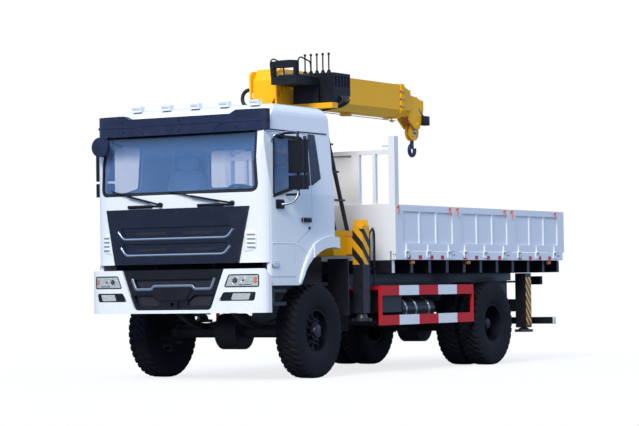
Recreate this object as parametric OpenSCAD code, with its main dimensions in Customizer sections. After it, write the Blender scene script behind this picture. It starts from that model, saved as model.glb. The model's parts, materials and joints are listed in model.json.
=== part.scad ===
// Two-axle truck with a telescopic crane behind the cab and a dropside bed.
// X forward, Y to the vehicle's left, Z up; the origin is on the ground under the middle of the vehicle.

/* [Vehicle] */
// Distance between the front and the rear axle
wheelbase = 4450; // [4350:10:4600]
// Front axle to the foremost point of the bumper
front_overhang = 1300; // [1280:5:1340]
// Rear axle to the rear face of the tailgate
rear_overhang = 2150; // [2100:10:2250]

/* [Wheels] */
// Tyre diameter over the lugs
tyre_d = 1100; // [1060:5:1120]
// Tyre width
tyre_w = 295; // [270:5:310]
// Rim diameter at the bead
rim_d = 508; // [495:1:520]
// Rim width between the flanges
rim_w = 220; // [200:5:240]
// Distance between the front tyres' middles
front_track = 2080; // [2040:5:2120]
// Distance between the middles of the rear twin pairs
rear_track = 1820; // [1780:5:1840]
// Distance between the two tyres of a twin pair
twin_spacing = 332; // [325:1:340]

/* [Chassis] */
// Width over the frame rails
frame_w = 860; // [820:5:900]
// Height of the top of the rails above the ground
frame_top = 1120; // [1100:5:1140]
// Height of a rail
rail_h = 260; // [240:5:280]

/* [Cab] */
// Width of the cab
cab_w = 2400; // [2360:5:2440]
// Front axle to the front of the cab
cab_nose = 1220; // [1200:5:1235]
// Front axle to the back of the cab
cab_tail = 360; // [340:5:370]
// Height of the top of the roof
roof_z = 3190; // [3150:5:3200]
// Height of the lower edge of the front panel
nose_z = 1352; // [1345:1:1365]
// Thickness of the cab walls and doors
wall = 50; // [40:1:60]

/* [Bed] */
// Width of the bed
bed_w = 2500; // [2460:5:2540]
// Front axle to the front of the bed
bed_start = 1740; // [1730:5:1780]
// Height of the bed floor
floor_z = 1440; // [1420:5:1460]
// Height of the dropsides
side_h = 570; // [520:5:600]
// Thickness of the dropsides
side_t = 45; // [35:1:55]

/* [Crane] */
// Front axle to the slewing axis
slew_back = 1050; // [1040:1:1060]
// Height of the boom foot pin
boom_pin_z = 3630; // [3610:5:3650]
// Width of the outer boom section
boom_w = 330; // [310:5:340]
// Height of the outer boom section
boom_h = 430; // [410:5:440]
// Length of the outer boom section
boom_len = 3210; // [3150:10:3300]
// Thickness of the boom plates
boom_t = 10; // [8:1:12]
// Half the distance between the front jack legs
jack_y = 1080; // [1070:5:1100]

/* [Hidden] */
$fn = 48;
// Overrun of every cut
over = 4;
// Gap of a seated piece
seat = 0.3;
// Running clearance
run = 6;
// Places along the vehicle
overall_len = front_overhang + wheelbase + rear_overhang;
x_front = overall_len / 2;
x_rear = -overall_len / 2;
fa = x_front - front_overhang;
ra = fa - wheelbase;
axle_z = tyre_d / 2;
cab_half = cab_w / 2;
// Frame
rail_flange = 80;
rail_t = 10;
rail_y = frame_w / 2;
rail_z = frame_top - rail_h;
frame_x0_off = 250;
frame_x0 = x_rear + frame_x0_off;
frame_x1_off = 1000;
frame_x1 = fa + frame_x1_off;
member_w = 70;
member_shares = [0.02, 0.26, 0.46, 0.66, 0.985];
underrun_x_off = 200;
underrun_x = x_rear + underrun_x_off;
underrun_z = 505;
underrun_h = 95;
underrun_t = 80;
underrun_half = 1180;
hanger_w = 60;
flap_x_off = 700;
flap_x = fa - flap_x_off;
flap_t = 14;
flap_in = 150;
flap_y0 = front_track / 2 - flap_in;
flap_out = 135;
flap_y1 = front_track / 2 + flap_out;
flap_z0 = 720;
flap_z1 = 1400;
bracket = 40;
step_x0_off = 690;
step_x0 = fa + step_x0_off;
step_x1_off = 980;
step_x1 = fa + step_x1_off;
step_in = 30;
step_y1 = cab_half - step_in;
step_w = 210;
step_y0 = step_y1 - step_w;
step_z = 860;
step_t = 40;
step_rise = 190;
// Rear jack legs and their crossbeam
leg_x_off = 1150;
leg_x = ra - leg_x_off;
leg_w = 170;
leg_t = 12;
leg_y0 = 1000;
leg_y1 = 1160;
leg_z0 = 470;
leg_z1 = 1215;
cross_z0 = 690;
cross_w = 200;
foot_d = 250;
foot_t = 35;
foot_gap = 20;
foot_cone_d = 120;
ram_d = 90;
// Driveline
engine_x0_off = 350;
engine_x0 = fa - engine_x0_off;
engine_x1_off = 840;
engine_x1 = fa + engine_x1_off;
engine_half = 340;
mount_x_shares = [0.2, 0.7];
mount_l = 110;
mount_h = 60;
mount_y = 405;
joint_gap = 4;
engine_z0 = 850;
engine_z1 = 1440;
gearbox_x0_off = 1000;
gearbox_x0 = fa - gearbox_x0_off;
gearbox_half = 230;
gearbox_h = 260;
transfer_x0_off = 2300;
transfer_x0 = fa - transfer_x0_off;
transfer_x1_off = 1900;
transfer_x1 = fa - transfer_x1_off;
transfer_half = 230;
transfer_z0 = 500;
transfer_z1 = 960;
shaft_d = 95;
shaft_z = 940;
low_shaft_z = 640;
// Axles
tube_d = 150;
ball_d = 200;
king_in = 190;
king_y = front_track / 2 - king_in;
diff_d = 430;
diff_w = 300;
nose_d = 180;
nose_len = 320;
rear_tube_d = 200;
rear_diff_d = 480;
spring_half = 640;
spring_w = 75;
spring_t = 75;
spring_sag = 150;
spring_steps = 16;
spring_taper_share = 0.75;
spring_y = rail_y - rail_flange / 2;
pad_w = 160;
// Knuckles
arm_z = 112;
arm_t = 36;
arm_w = 110;
plate_in = 55;
plate_y = front_track / 2 - plate_in;
plate_t = 18;
plate_d = 380;
spindle_d = 84;
spindle_len = 150;
// Rims
rim_t = 14;
flange_h = 22;
disc_t = 16;
hub_d = 220;
hand_holes = 10;
hand_d = 66;
hand_ring_share = 0.74;
front_disc = 52;
twin_disc = 96;
hub_len = 120;
bead_gap = seat;
// Tyre outline, shares of the half width and of the section height
tyre_w_shares = [0.72, 0.94, 1, 0.99, 0.93, 0.8, 0.4];
tyre_h_shares = [0, 0.22, 0.52, 0.78, 0.93, 0.985, 1];
// Bumper
bumper_z0 = 785;
bumper_z1 = 1285;
bumper_half_off = 20;
bumper_half = cab_half + bumper_half_off;
bumper_back_off = 1075;
bumper_back = fa + bumper_back_off;
bumper_wall = 55;
bumper_bow = 215;
bumper_power = 3.2;
insert_half_low_off = 690;
insert_half_low = bumper_half - insert_half_low_off;
insert_half_high_off = 508;
insert_half_high = bumper_half - insert_half_high_off;
insert_z0_off = 38;
insert_z0 = bumper_z0 + insert_z0_off;
insert_z1 = bumper_z1;
insert_r = 60;
// Openings of the insert, half widths above and below
mouth_z0_off = 262;
mouth_z0 = insert_z0 + mouth_z0_off;
mouth_z1_off = 355;
mouth_z1 = insert_z0 + mouth_z1_off;
mouth_high_off = 15;
mouth_high = insert_half_low + mouth_high_off;
mouth_low_off = 25;
mouth_low = insert_half_low - mouth_low_off;
mouth_step_off = 230;
mouth_step = insert_half_low - mouth_step_off;
mouth_rise = 35;
vent_z0_off = 50;
vent_z0 = insert_z0 + vent_z0_off;
vent_z1_off = 172;
vent_z1 = insert_z0 + vent_z1_off;
vent_high_off = 30;
vent_high = insert_half_low + vent_high_off;
vent_low_off = 30;
vent_low = insert_half_low - vent_low_off;
sign_low = 182;
sign_high = 275;
sign_z0_off = 110;
sign_z0 = insert_z0 + sign_z0_off;
sign_z1_off = 256;
sign_z1 = insert_z0 + sign_z1_off;
sign_t = 14;
sign_gap = 22;
insert_t = 30;
head_y0_off = 503;
head_y0 = bumper_half - head_y0_off;
head_y1_off = 85;
head_y1 = bumper_half - head_y1_off;
head_z0_off = 296;
head_z0 = bumper_z0 + head_z0_off;
head_z1_off = 432;
head_z1 = bumper_z0 + head_z1_off;
head_slant = 58;
lamp_r = 20;
fog_y0_off = 575;
fog_y0 = bumper_half - fog_y0_off;
fog_y1_off = 120;
fog_y1 = bumper_half - fog_y1_off;
fog_z0_off = 141;
fog_z0 = bumper_z0 + fog_z0_off;
fog_z1_off = 233;
fog_z1 = bumper_z0 + fog_z1_off;
fog_slant = 60;
chamfer_x = 105;
chamfer_z = 113;
lamp_t = 40;
tow_w = 150;
tow_t = 20;
tow_bore = 50;
tow_z0_off = 40;
tow_z0 = bumper_z0 + tow_z0_off;
tow_bore_z_off = 100;
tow_bore_z = bumper_z0 + tow_bore_z_off;
tow_clear = 20;
tow_x = x_front - bumper_wall + insert_t + seat;
tail_w = 330;
tail_h = 110;
tail_t = 70;
tail_y = 640;
tail_z = 1060;
bumper_arm = 60;
// Tanks
tank_x0_off = 1150;
tank_x0 = ra + tank_x0_off;
tank_x1_off = 2050;
tank_x1 = fa - tank_x1_off;
tank_half = 270;
tank_y = 800;
tank_z = 800;
tank_r = 90;
air_d = 270;
air_x0_off = 1250;
air_x0 = ra + air_x0_off;
air_x1_off = 2350;
air_x1 = fa - air_x1_off;
air_y = 860;
air_z = 770;
battery_x0_off = 2150;
battery_x0 = fa - battery_x0_off;
battery_len = 480;
battery_y0 = 620;
battery_y1 = 1090;
battery_z0 = 740;
battery_h = 300;
strap_w = 45;
strap_t = 20;
// Side guards
guard_x0_off = 580;
guard_x0 = ra + guard_x0_off;
guard_x1_off = 1420;
guard_x1 = fa - guard_x1_off;
guard_y = 1175;
guard_t = 35;
guard_bar = 122;
guard_z0 = 585;
guard_z1 = 1072;
guard_arm_shares = [0.04, 0.92];
guard_arm_z = 1020;
// Bed
bed_x1 = fa - bed_start;
hinge_d = 26;
hinge_len = 40;
hinge_leaf = 80;
gate_x = x_rear + hinge_d;
bed_x0 = gate_x + side_t + run;
bed_half = bed_w / 2;
beam_y0 = rail_y - rail_flange;
beam_z1 = 1225;
joist_z1 = 1385;
joist_w = 70;
joist_count = 11;
curb_z0 = 1390;
hinge_z = 1500;
post_w = 95;
post_t = 60;
side_z1 = hinge_z + side_h;
bay_len = (bed_x1 - bed_x0 - 4 * post_w) / 3;
field_depth = 14;
field_shares = [0.04, 0.345, 0.65];
field_len_share = 0.285;
field_low_share = 0.17;
field_high_share = 0.86;
hinge_axis_z = hinge_z - run / 2;
hinge_shares = [0.12, 0.5, 0.88];
gate_hinge_shares = [0.2, 0.75];
rack_z = 2750;
rack_bar = 50;
rack_bar_shares = [0.547, 0.76];
rack_bar_ws = [115, 43];
rack_sheet_share = 0.505;
rack_sheet_t = 12;
rack_post_z = 2915;
rack_post_w = 85;
head_z = 2080;
peg_d = 30;
peg_len = 110;
// Crane base and outriggers
slew_x = fa - slew_back;
base_z0 = 1440;
base_z1 = 1745;
base_half_off = 150;
base_half = jack_y - base_half_off;
base_len = 540;
beam_w = 185;
beam_h = 215;
beam_off = 128;
beam_wall = 14;
pedestal_half = 430;
turn_d = 620;
turn_h = 75;
front_leg_w = 160;
front_leg_d = 140;
front_leg_z0 = 740;
front_leg_z1 = 1800;
front_foot_z = 645;
front_foot_t = 30;
clevis_h = 70;
// Ladder
ladder_z0 = base_z1;
ladder_z1 = 2980;
ladder_y0_off = 70;
ladder_y0 = base_half - ladder_y0_off;
ladder_y1_off = 110;
ladder_y1 = ladder_y0 - ladder_y1_off;
ladder_x_off = 930;
ladder_x = fa - ladder_x_off;
ladder_lean = 300;
ladder_w = 300;
ladder_d = 36;
ladder_foot = 16;
tread_t = 22;
tread_d = 130;
tread_shares = [0.3, 0.58, 0.85];
// Cab
cab_x0 = fa - cab_tail;
cab_x1 = fa + cab_nose;
cab_z0 = 1090;
cab_floor = 1500;
cab_floor_t = 45;
belt_z = 2140;
nose_round = 270;
nose_power = 3.4;
plan_steps = 28;
screen_top_x_off = 150;
screen_top_x = cab_x1 - screen_top_x_off;
screen_top_z = 2900;
crown_x_off = 480;
crown_x = cab_x1 - crown_x_off;
roof_in = 85;
roof_r = 150;
front_split_off = 1056;
front_split = fa + front_split_off;
screen_half_low_off = 115;
screen_half_low = cab_half - screen_half_low_off;
screen_half_high_off = 155;
screen_half_high = cab_half - screen_half_high_off;
screen_z0 = 2165;
screen_z1 = 2905;
roof_joint = 30;
roof_split = screen_z1 + roof_joint;
visor_z0_off = 50;
visor_z0 = screen_z1 - visor_z0_off;
screen_r = 90;
glass_in = 12;
glass_t = 8;
rear_win_half = 560;
rear_win_z0 = 2280;
rear_win_z1 = 2760;
arch_x_off = 280;
arch_x = fa - arch_x_off;
arch_z = 740;
arch_r = 790;
flare_w = 130;
flare_out = 28;
flare_in = 40;
flare_tail = 75;
door_gap = run;
lip_t = 12;
lip_w = 24;
hinge_relief = 55;
door_x1_off = 1050;
door_x1 = fa + door_x1_off;
door_x0_off = 150;
door_x0 = fa + door_x0_off;
door_z0 = 1188;
door_z1_off = 12;
door_z1 = visor_z0 - door_z1_off;
door_cut_x_off = 520;
door_cut_x = fa + door_cut_x_off;
door_cut_z = 1560;
door_waist_z = 1770;
door_r = 60;
win_x1_off = 985;
win_x1 = fa + win_x1_off;
win_x0_off = 262;
win_x0 = fa + win_x0_off;
win_z1_off = 43;
win_z1 = door_z1 - win_z1_off;
win_front_z = 2112;
win_rear_z = 2275;
win_r = 55;
handle_x_off = 290;
handle_x = fa + handle_x_off;
handle_z = 1843;
handle_len = 190;
handle_h = 48;
handle_t = 26;
marker_w = 130;
marker_d = 80;
marker_h = 42;
marker_y_shares = [-0.69, -0.34, 0, 0.34, 0.69];
marker_back = 500;
// Tilt hinge of the cab
tilt_x_off = 85;
tilt_x = cab_x1 - tilt_x_off;
tilt_z = 1388;
tilt_d = 30;
tilt_eye = 36;
tilt_tip = 16;
tilt_y0_off = 40;
tilt_y0 = rail_y - tilt_y0_off;
tilt_y1 = rail_y;
tilt_lug_y1_off = 55;
tilt_lug_y1 = rail_y + tilt_lug_y1_off;
tilt_back_x_off = 900;
tilt_back_x = fa + tilt_back_x_off;
tilt_neck = 95;
// Visor, grille and front mirror
visor_z1_off = 245;
visor_z1 = visor_z0 + visor_z1_off;
visor_dip = 42;
visor_dip_half = 700;
visor_dip_run = 95;
visor_line_z_off = 104;
visor_line_z = visor_z0 + visor_line_z_off;
visor_line = 8;
visor_t = 46;
visor_back_off = 1020;
visor_back = fa + visor_back_off;
visor_foot = 30;
visor_x = screen_top_x + visor_t + run;
visor_half_off = 12;
visor_half = cab_half - visor_half_off;
visor_round = 105;
visor_power = 4;
visor_lip = 60;
visor_wall = 40;
visor_hollow = 900;
grille_low_off = 338;
grille_low = cab_half - grille_low_off;
grille_high_off = 205;
grille_high = cab_half - grille_high_off;
grille_z1 = 1995;
grille_t = 26;
slot_h = 115;
slot_z_shares = [0.194, 0.487];
slot_half_shares = [0.575, 0.602];
slot_slant = 40;
slot_depth = 16;
round_d = 230;
round_t = 55;
round_x_off = 1250;
round_x = fa + round_x_off;
round_y_off = 180;
round_y = -cab_half + round_y_off;
round_z = 2740;
stem_x_off = 1085;
stem_x = fa + stem_x_off;
stem_d = 24;
// Cab furniture
seat_w = 520;
seat_len = 480;
seat_y_off = 560;
seat_y = cab_half - seat_y_off;
seat_z = 1850;
seat_h = 150;
back_h = 700;
back_t = 130;
seat_x_off = 80;
seat_x = fa + seat_x_off;
dash_x0_off = 780;
dash_x0 = fa + dash_x0_off;
dash_x1_off = 1085;
dash_x1 = fa + dash_x1_off;
dash_z0 = 1640;
dash_z1 = 2060;
dash_half_off = 120;
dash_half = cab_half - dash_half_off;
wheel_d = 460;
wheel_t = 32;
wheel_x_off = 690;
wheel_x = fa + wheel_x_off;
wheel_z = 2150;
wheel_tilt = 62;
column_len = 260;
// Mirrors
mirror_x0_off = 660;
mirror_x0 = fa + mirror_x0_off;
mirror_t = 90;
mirror_y0_off = 45;
mirror_y0 = cab_half + mirror_y0_off;
mirror_y1_off = 280;
mirror_y1 = cab_half + mirror_y1_off;
mirror_z0 = 2370;
mirror_z1 = 2750;
mirror_low_z0 = 2180;
mirror_low_z1 = 2340;
mirror_d = 28;
mirror_top_z = 2832;
mirror_low_z = 2125;
// Crane column
column_z0 = base_z1 + turn_h;
column_half = 200;
ear_t = 25;
ear_y = boom_w / 2 + run;
pin_back = 200;
boom_pin_x = slew_x + pin_back;
column_back = 290;
column_mid_z = 3230;
ear_top_off = 95;
ear_top = boom_pin_z + ear_top_off;
// Holes of the side plates from the boom pin: along, up, diameter
ear_holes = [[75, -201, 90], [7, -125, 48], [-74, -101, 52]];
ear_r = 150;
boom_pin_d = 100;
luff_low_r = 385;
luff_low_z = 1910;
luff_high_r = 580;
lug_t = 20;
lug_gap = 83;
luff_pin_d = 60;
winch_d = 260;
winch_half = 175;
winch_x_off = 430;
winch_x = slew_x + winch_x_off;
winch_z = 2900;
seat_arm_z = 3245;
seat_arm_h = 65;
seat_arm_y1 = 820;
// Control station
chair_x0_off = 1010;
chair_x0 = fa - chair_x0_off;
chair_x1_off = 480;
chair_x1 = fa - chair_x1_off;
chair_y0 = 262;
chair_y1 = 620;
chair_z = 3520;
chair_t = 90;
chair_back_z = 3800;
chair_back_t = 70;
chair_post = 40;
chair_pad_h = 80;
cool_x0_off = 1440;
cool_x0 = fa - cool_x0_off;
cool_x1_off = 1040;
cool_x1 = fa - cool_x1_off;
cool_y0 = 300;
cool_y1 = 810;
cool_z1 = 3680;
cool_nose_share = 0.55;
cool_low_share = 0.72;
louvre_count = 5;
louvre_w = 34;
louvre_depth = 14;
lever_d = 18;
lever_count = 5;
lever_len = 250;
lever_knob = 34;
lever_x_off = 1000;
lever_x = fa - lever_x_off;
// Luffing cylinder
barrel_d = 150;
barrel_bore = 110;
rod_d = 90;
luff_eye_d = 130;
rod_eye_d = 100;
barrel_gap = 85;
rod_foot = 3;
luff_drop = 150;
// Boom
nose_share = 0.7;
foot_cone_share = 1.3;
plinth_share = 0.8;
tail_share = 2.2;
head_share = 0.75;
tip_low_share = 0.3;
tip_high_share = 0.6;
sheave_x_share = 0.6;
sheave_z_share = 0.45;
sheave_share = 0.72;
hook_start = 200;
hook_turn = 290;
boom_tail = 110;
tail_cut_x = 110;
tail_cut_z = 150;
boom_z1_off = 120;
boom_z1 = boom_pin_z + boom_z1_off;
boom_z0 = boom_z1 - boom_h;
boom_x1 = boom_pin_x + boom_tail;
boom_x0 = boom_x1 - boom_len;
boom_bevel_share = 0.22;
boom_bottom_share = 0.6;
boom_step = boom_t + run;
boom_out = 85;
boom_in = 160;
collar_w = 90;
collar_t = 12;
luff_high_z = boom_z0 - luff_drop;
luff_high_x = slew_x - luff_high_r;
luff_reach = norm([luff_high_r - luff_low_r, luff_high_z - luff_low_z]);
guide_x_off = 2750;
guide_x = fa - guide_x_off;
guide_w = 110;
guide_h = 45;
head_len = 420;
head_t = 22;
head_half = 95;
sheave_d = 230;
sheave_w = 60;
hook_ahead = 250;
hook_x = boom_x0 - 3 * boom_out - hook_ahead;
hook_z = 3250;
hook_pin_d = 50;
box_w = 120;
// Hook block
block_d = 240;
block_drop = 95;
cheek_t = 24;
cheek_in = 42;
hook_bar = 52;
hook_r = 72;
shank_z = 3010;
hook_mid_z = 2905;
// Hose
hose_d = 46;
hose_bend = 105;
hose_x_off = 250;
hose_x = slew_x + hose_x_off;
hose_stub = 60;
hose_y = -ear_y - ear_t - seat - hose_stub;
hose_z = 3400;

function unit(v) = v / norm(v);
function turn(a) = a > 180 ? a - 360 : a < -180 ? a + 360 : a;
// Rounds one corner of an outline with radius r
function corner(a, b, c, r, n) = let(
    u = unit(a - b), v = unit(c - b), half = acos(u * v) / 2,
    m = b + unit(u + v) * r / sin(half), p = b + u * r / tan(half) - m, q = b + v * r / tan(half) - m,
    a0 = atan2(p[1], p[0]), sweep = turn(atan2(q[1], q[0]) - a0)
  ) [for (k = [0:n]) m + r * [cos(a0 + sweep * k / n), sin(a0 + sweep * k / n)]];
function rounded(p, radii, n = 6) = [for (i = [0:len(p) - 1])
    each radii[i] <= 0 ? [p[i]] : corner(p[(i + len(p) - 1) % len(p)], p[i], p[(i + 1) % len(p)],
      radii[i], n)];
// Front outline of a panel that wraps round the vehicle's nose
function wrap(x, half, depth, power) = [for (k = [0:plan_steps]) let(a = 180 * k / plan_steps)
    [x - depth + depth * pow(sin(a), 2 / power), half * sign(cos(a)) * pow(abs(cos(a)), 2 / power)]];

module across(y0, y1) { translate([0, y1, 0]) rotate([90, 0, 0]) linear_extrude(height = y1 - y0)
  children(); }
module along(x0, x1) { translate([x0, 0, 0]) rotate([90, 0, 90]) linear_extrude(height = x1 - x0)
  children(); }
module upward(z0, z1) { translate([0, 0, z0]) linear_extrude(height = z1 - z0) children(); }
module block(lo, hi) { translate(lo) cube(hi - lo); }
module both_sides() { children(); mirror([0, 1, 0]) children(); }
module pin_y(x, z, d, y0, y1) { translate([x, y1, z]) rotate([90, 0, 0]) cylinder(d = d, h = y1 - y0); }
module pin_x(y, z, d, x0, x1) { translate([x0, y, z]) rotate([0, 90, 0]) cylinder(d = d, h = x1 - x0); }
module pin_z(x, y, d, z0, z1) { translate([x, y, z0]) cylinder(d = d, h = z1 - z0); }
module bar(a, b, d) {
  v = b - a;
  translate(a) rotate([0, acos(v[2] / norm(v)), atan2(v[1], v[0])]) cylinder(d = d, h = norm(v));
}

// Chassis
module rail() {
  along(frame_x0, frame_x1) polygon([
    [rail_y, rail_z], [rail_y, frame_top], [rail_y - rail_flange, frame_top],
    [rail_y - rail_flange, frame_top - rail_t], [rail_y - rail_t, frame_top - rail_t],
    [rail_y - rail_t, rail_z + rail_t], [rail_y - rail_flange, rail_z + rail_t], [rail_y - rail_flange,
      rail_z]
  ]);
}

module spring_hangers(x) {
  for (end = [-1, 1])
    block([x + end * spring_half - hanger_w / 2, rail_y - rail_flange, rail_z - hanger_w],
      [x + end * spring_half + hanger_w / 2, rail_y, rail_z]);
}

module rear_leg_sleeve() {
  difference() {
    block([leg_x - leg_w / 2, leg_y0, leg_z0], [leg_x + leg_w / 2, leg_y1, leg_z1]);
    pin_z(leg_x, (leg_y0 + leg_y1) / 2, ram_d + 2 * seat, leg_z0 - over, leg_z1 - leg_t);
  }
  block([leg_x - cross_w / 2, 0, cross_z0], [leg_x + cross_w / 2, leg_y0, rail_z]);
}

module chassis_half() {
  rail();
  spring_hangers(fa);
  spring_hangers(ra);
  rear_leg_sleeve();
  block([underrun_x, rail_y - rail_flange, underrun_z], [underrun_x + underrun_t, rail_y, frame_top]);
  block([underrun_x, 0, underrun_z], [underrun_x + underrun_t, underrun_half, underrun_z + underrun_h]);
  block([flap_x - flap_t, flap_y0, flap_z0], [flap_x, flap_y1, flap_z1]);
  block([flap_x - flap_t - bracket, rail_y - rail_t, frame_top - 2 * bracket], [flap_x - flap_t, flap_y1,
    frame_top - bracket]);
  difference() {
    block([step_x0, step_y0, step_z], [step_x1, step_y1, step_z + step_rise]);
    block([step_x0 - over, step_y0 - over, step_z + step_t], [step_x1 - step_t, step_y1 + over,
      step_z + step_rise - step_t]);
  }
  block([step_x1 - step_t, rail_y - rail_t, step_z + step_rise - step_t], [step_x1, step_y0,
    step_z + step_rise]);
}

// Gooseneck that carries the cab's tilt pin
module tilt_bracket() {
  across(tilt_y0, tilt_y1) polygon([
    [tilt_back_x, frame_top], [frame_x1, frame_top], [tilt_x - tilt_neck, tilt_z - tilt_eye],
    [tilt_x + tilt_tip, tilt_z - tilt_tip], [tilt_x + tilt_tip, tilt_z + tilt_tip],
    [tilt_x - tilt_neck * 2, tilt_z + tilt_tip]
  ]);
  pin_y(tilt_x, tilt_z, tilt_d, tilt_y0, tilt_lug_y1);
}

module chassis_frame() color("#1c1d20") {
  both_sides() {
    chassis_half();
    tilt_bracket();
  }
  for (s = member_shares)
    block([frame_x0 + s * (frame_x1 - frame_x0) - member_w / 2, -rail_y + rail_t, rail_z + rail_h / 2],
      [frame_x0 + s * (frame_x1 - frame_x0) + member_w / 2, rail_y - rail_t, frame_top - rail_t]);
}

module driveline() color("#3a3c3f") {
  block([engine_x0, -engine_half, engine_z0], [engine_x1, engine_half, engine_z1]);
  for (s = mount_x_shares)
    block([engine_x0 + s * (engine_x1 - engine_x0) - mount_l / 2, -mount_y, frame_top],
      [engine_x0 + s * (engine_x1 - engine_x0) + mount_l / 2, mount_y, frame_top + mount_h]);
  block([gearbox_x0, -gearbox_half, engine_z0], [engine_x0, gearbox_half, engine_z0 + gearbox_h]);
  block([transfer_x0, -transfer_half, transfer_z0], [transfer_x1, transfer_half, transfer_z1]);
  pin_x(0, shaft_z, shaft_d, transfer_x1, gearbox_x0);
  bar([transfer_x0, 0, low_shaft_z], [ra + nose_len + joint_gap, 0, axle_z], shaft_d);
  bar([fa - nose_len - joint_gap, 0, axle_z], [transfer_x1, 0, low_shaft_z], shaft_d);
}

// One curved leaf spring pack under a rail, its ends under the hangers
module leaf_spring(x) {
  z_end = rail_z - hanger_w;
  top = [for (k = [0:spring_steps]) let(u = 2 * k / spring_steps - 1)
    [u * spring_half, z_end - spring_sag * (1 - u * u)]];
  low = [for (k = [spring_steps:-1:0]) let(u = 2 * k / spring_steps - 1)
    [u * spring_half, z_end - spring_sag * (1 - u * u) - spring_t * (1 - u * u * spring_taper_share)]];
  across(spring_y - spring_w / 2, spring_y + spring_w / 2) translate([x, 0]) polygon(concat(top, low));
}

module axle_half(x, tube, len) {
  pin_y(x, axle_z, tube, 0, len);
  block([x - pad_w / 2, spring_y - spring_w / 2, axle_z], [x + pad_w / 2, spring_y + spring_w / 2,
    rail_z - hanger_w - spring_sag - spring_t / 2]);
  leaf_spring(x);
}

module diff_case(x, d, way) {
  pin_y(x, axle_z, d, -diff_w / 2, diff_w / 2);
  translate([x, 0, axle_z]) rotate([0, 90 * way, 0]) cylinder(d1 = d * nose_share, d2 = nose_d,
    h = nose_len);
}

module front_axle() color("#26282b") {
  both_sides() {
    difference() {
      axle_half(fa, tube_d, king_y);
      pin_z(fa, king_y, spindle_d / 2 + 2 * seat, axle_z - tube_d, axle_z + tube_d);
    }
    translate([fa, king_y, axle_z]) difference() {
      sphere(d = ball_d);
      translate([0, 0, -ball_d]) cylinder(d = spindle_d / 2 + 2 * seat, h = 2 * ball_d);
    }
  }
  diff_case(fa, diff_d, -1);
}

module rear_axle() color("#26282b") {
  both_sides() {
    axle_half(ra, rear_tube_d, rear_track / 2 - twin_spacing / 2 - tyre_w / 2);
    pin_y(ra, axle_z, spindle_d, 0, rear_track / 2 + twin_spacing / 2);
  }
  diff_case(ra, rear_diff_d, 1);
}

// Bumper
module bumper_plan(i) polygon(concat(
    [[bumper_back - i, -bumper_half + i]],
    [for (k = [plan_steps:-1:0]) wrap(x_front - i, bumper_half - i, bumper_bow, bumper_power)[k]],
    [[bumper_back - i, bumper_half - i]]));

// Layer of the bumper between two depths
module bumper_skin(i0, i1) {
  difference() {
    upward(bumper_z0, bumper_z1) bumper_plan(i0);
    upward(bumper_z0 - over, bumper_z1 + over) bumper_plan(i1);
  }
}

module insert_outline() polygon(rounded([
    [-insert_half_low, insert_z0], [insert_half_low, insert_z0],
    [insert_half_high, insert_z1 + over], [-insert_half_high, insert_z1 + over]
  ], [insert_r, insert_r, 0, 0], 4));

module head_outline() polygon(rounded([
    [head_y0, head_z0], [head_y1, head_z0], [head_y1, head_z1], [head_y0 + head_slant, head_z1]
  ], [lamp_r, lamp_r, lamp_r, lamp_r], 3));

module fog_outline() polygon(rounded([
    [fog_y0, fog_z0], [fog_y1 - lamp_r, fog_z0], [fog_y1, fog_z1], [fog_y0 + fog_slant, fog_z1]
  ], [lamp_r, lamp_r, lamp_r, lamp_r], 3));

module front_bumper() color("#e8e9e6") {
  difference() {
    bumper_skin(0, bumper_wall);
    along(bumper_back - bumper_wall, x_front + over) insert_outline();
    both_sides() along(bumper_back - bumper_wall, x_front + over) {
      head_outline();
      fog_outline();
    }
    across(-cab_w, cab_w) polygon([
      [bumper_back - bumper_wall, bumper_z1 - chamfer_z], [bumper_back, bumper_z1 - chamfer_z],
      [bumper_back + chamfer_x, bumper_z1 + over], [bumper_back - bumper_wall, bumper_z1 + over]
    ]);
  }
  both_sides() block([frame_x1, rail_y - rail_flange, bumper_z0],
    [x_front - bumper_wall - run, rail_y - rail_flange + bumper_arm, rail_z + bumper_arm]);
  both_sides() block([x_front - 2 * bumper_wall, rail_y - rail_flange, bumper_z0],
    [x_front - bumper_wall + over, rail_y - rail_flange + bumper_arm, insert_z0 - run]);
}

// Openings of the insert: one stepped mouth above, one vent each side of the sign below
module insert_openings() {
  polygon([
    [-mouth_high, mouth_z1], [-mouth_low, mouth_z0], [-mouth_step, mouth_z0],
    [-mouth_step + mouth_rise, mouth_z0 + mouth_rise],
    [mouth_step - mouth_rise, mouth_z0 + mouth_rise], [mouth_step, mouth_z0],
    [mouth_low, mouth_z0], [mouth_high, mouth_z1]
  ]);
  for (side = [-1, 1])
    polygon([
      [side * vent_high, vent_z1], [side * vent_low, vent_z0], [side * (sign_low + sign_gap), vent_z0],
      [side * (sign_low + sign_gap), sign_z0], [side * (sign_high + sign_gap), vent_z1]
    ]);
}

module bumper_grille() color("#26282b") {
  difference() {
    intersection() {
      bumper_skin(bumper_wall - insert_t, bumper_wall);
      along(bumper_back - bumper_wall, x_front) insert_outline();
    }
    along(bumper_back, x_front + over) insert_openings();
    pin_x(0, tow_bore_z, tow_bore + tow_clear, bumper_back, x_front + over);
  }
  // Bare sign plate and the towing plate under it
  intersection() {
    bumper_skin(bumper_wall - insert_t - sign_t, bumper_wall - insert_t + over);
    along(bumper_back, x_front) polygon([
      [-sign_low, sign_z0], [sign_low, sign_z0], [sign_high, sign_z1], [-sign_high, sign_z1]
    ]);
  }
  difference() {
    block([tow_x, -tow_w / 2, tow_z0], [tow_x + tow_t, tow_w / 2, sign_z0 - run]);
    pin_x(0, tow_bore_z, tow_bore, tow_x - over, x_front + over);
  }
}

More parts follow.
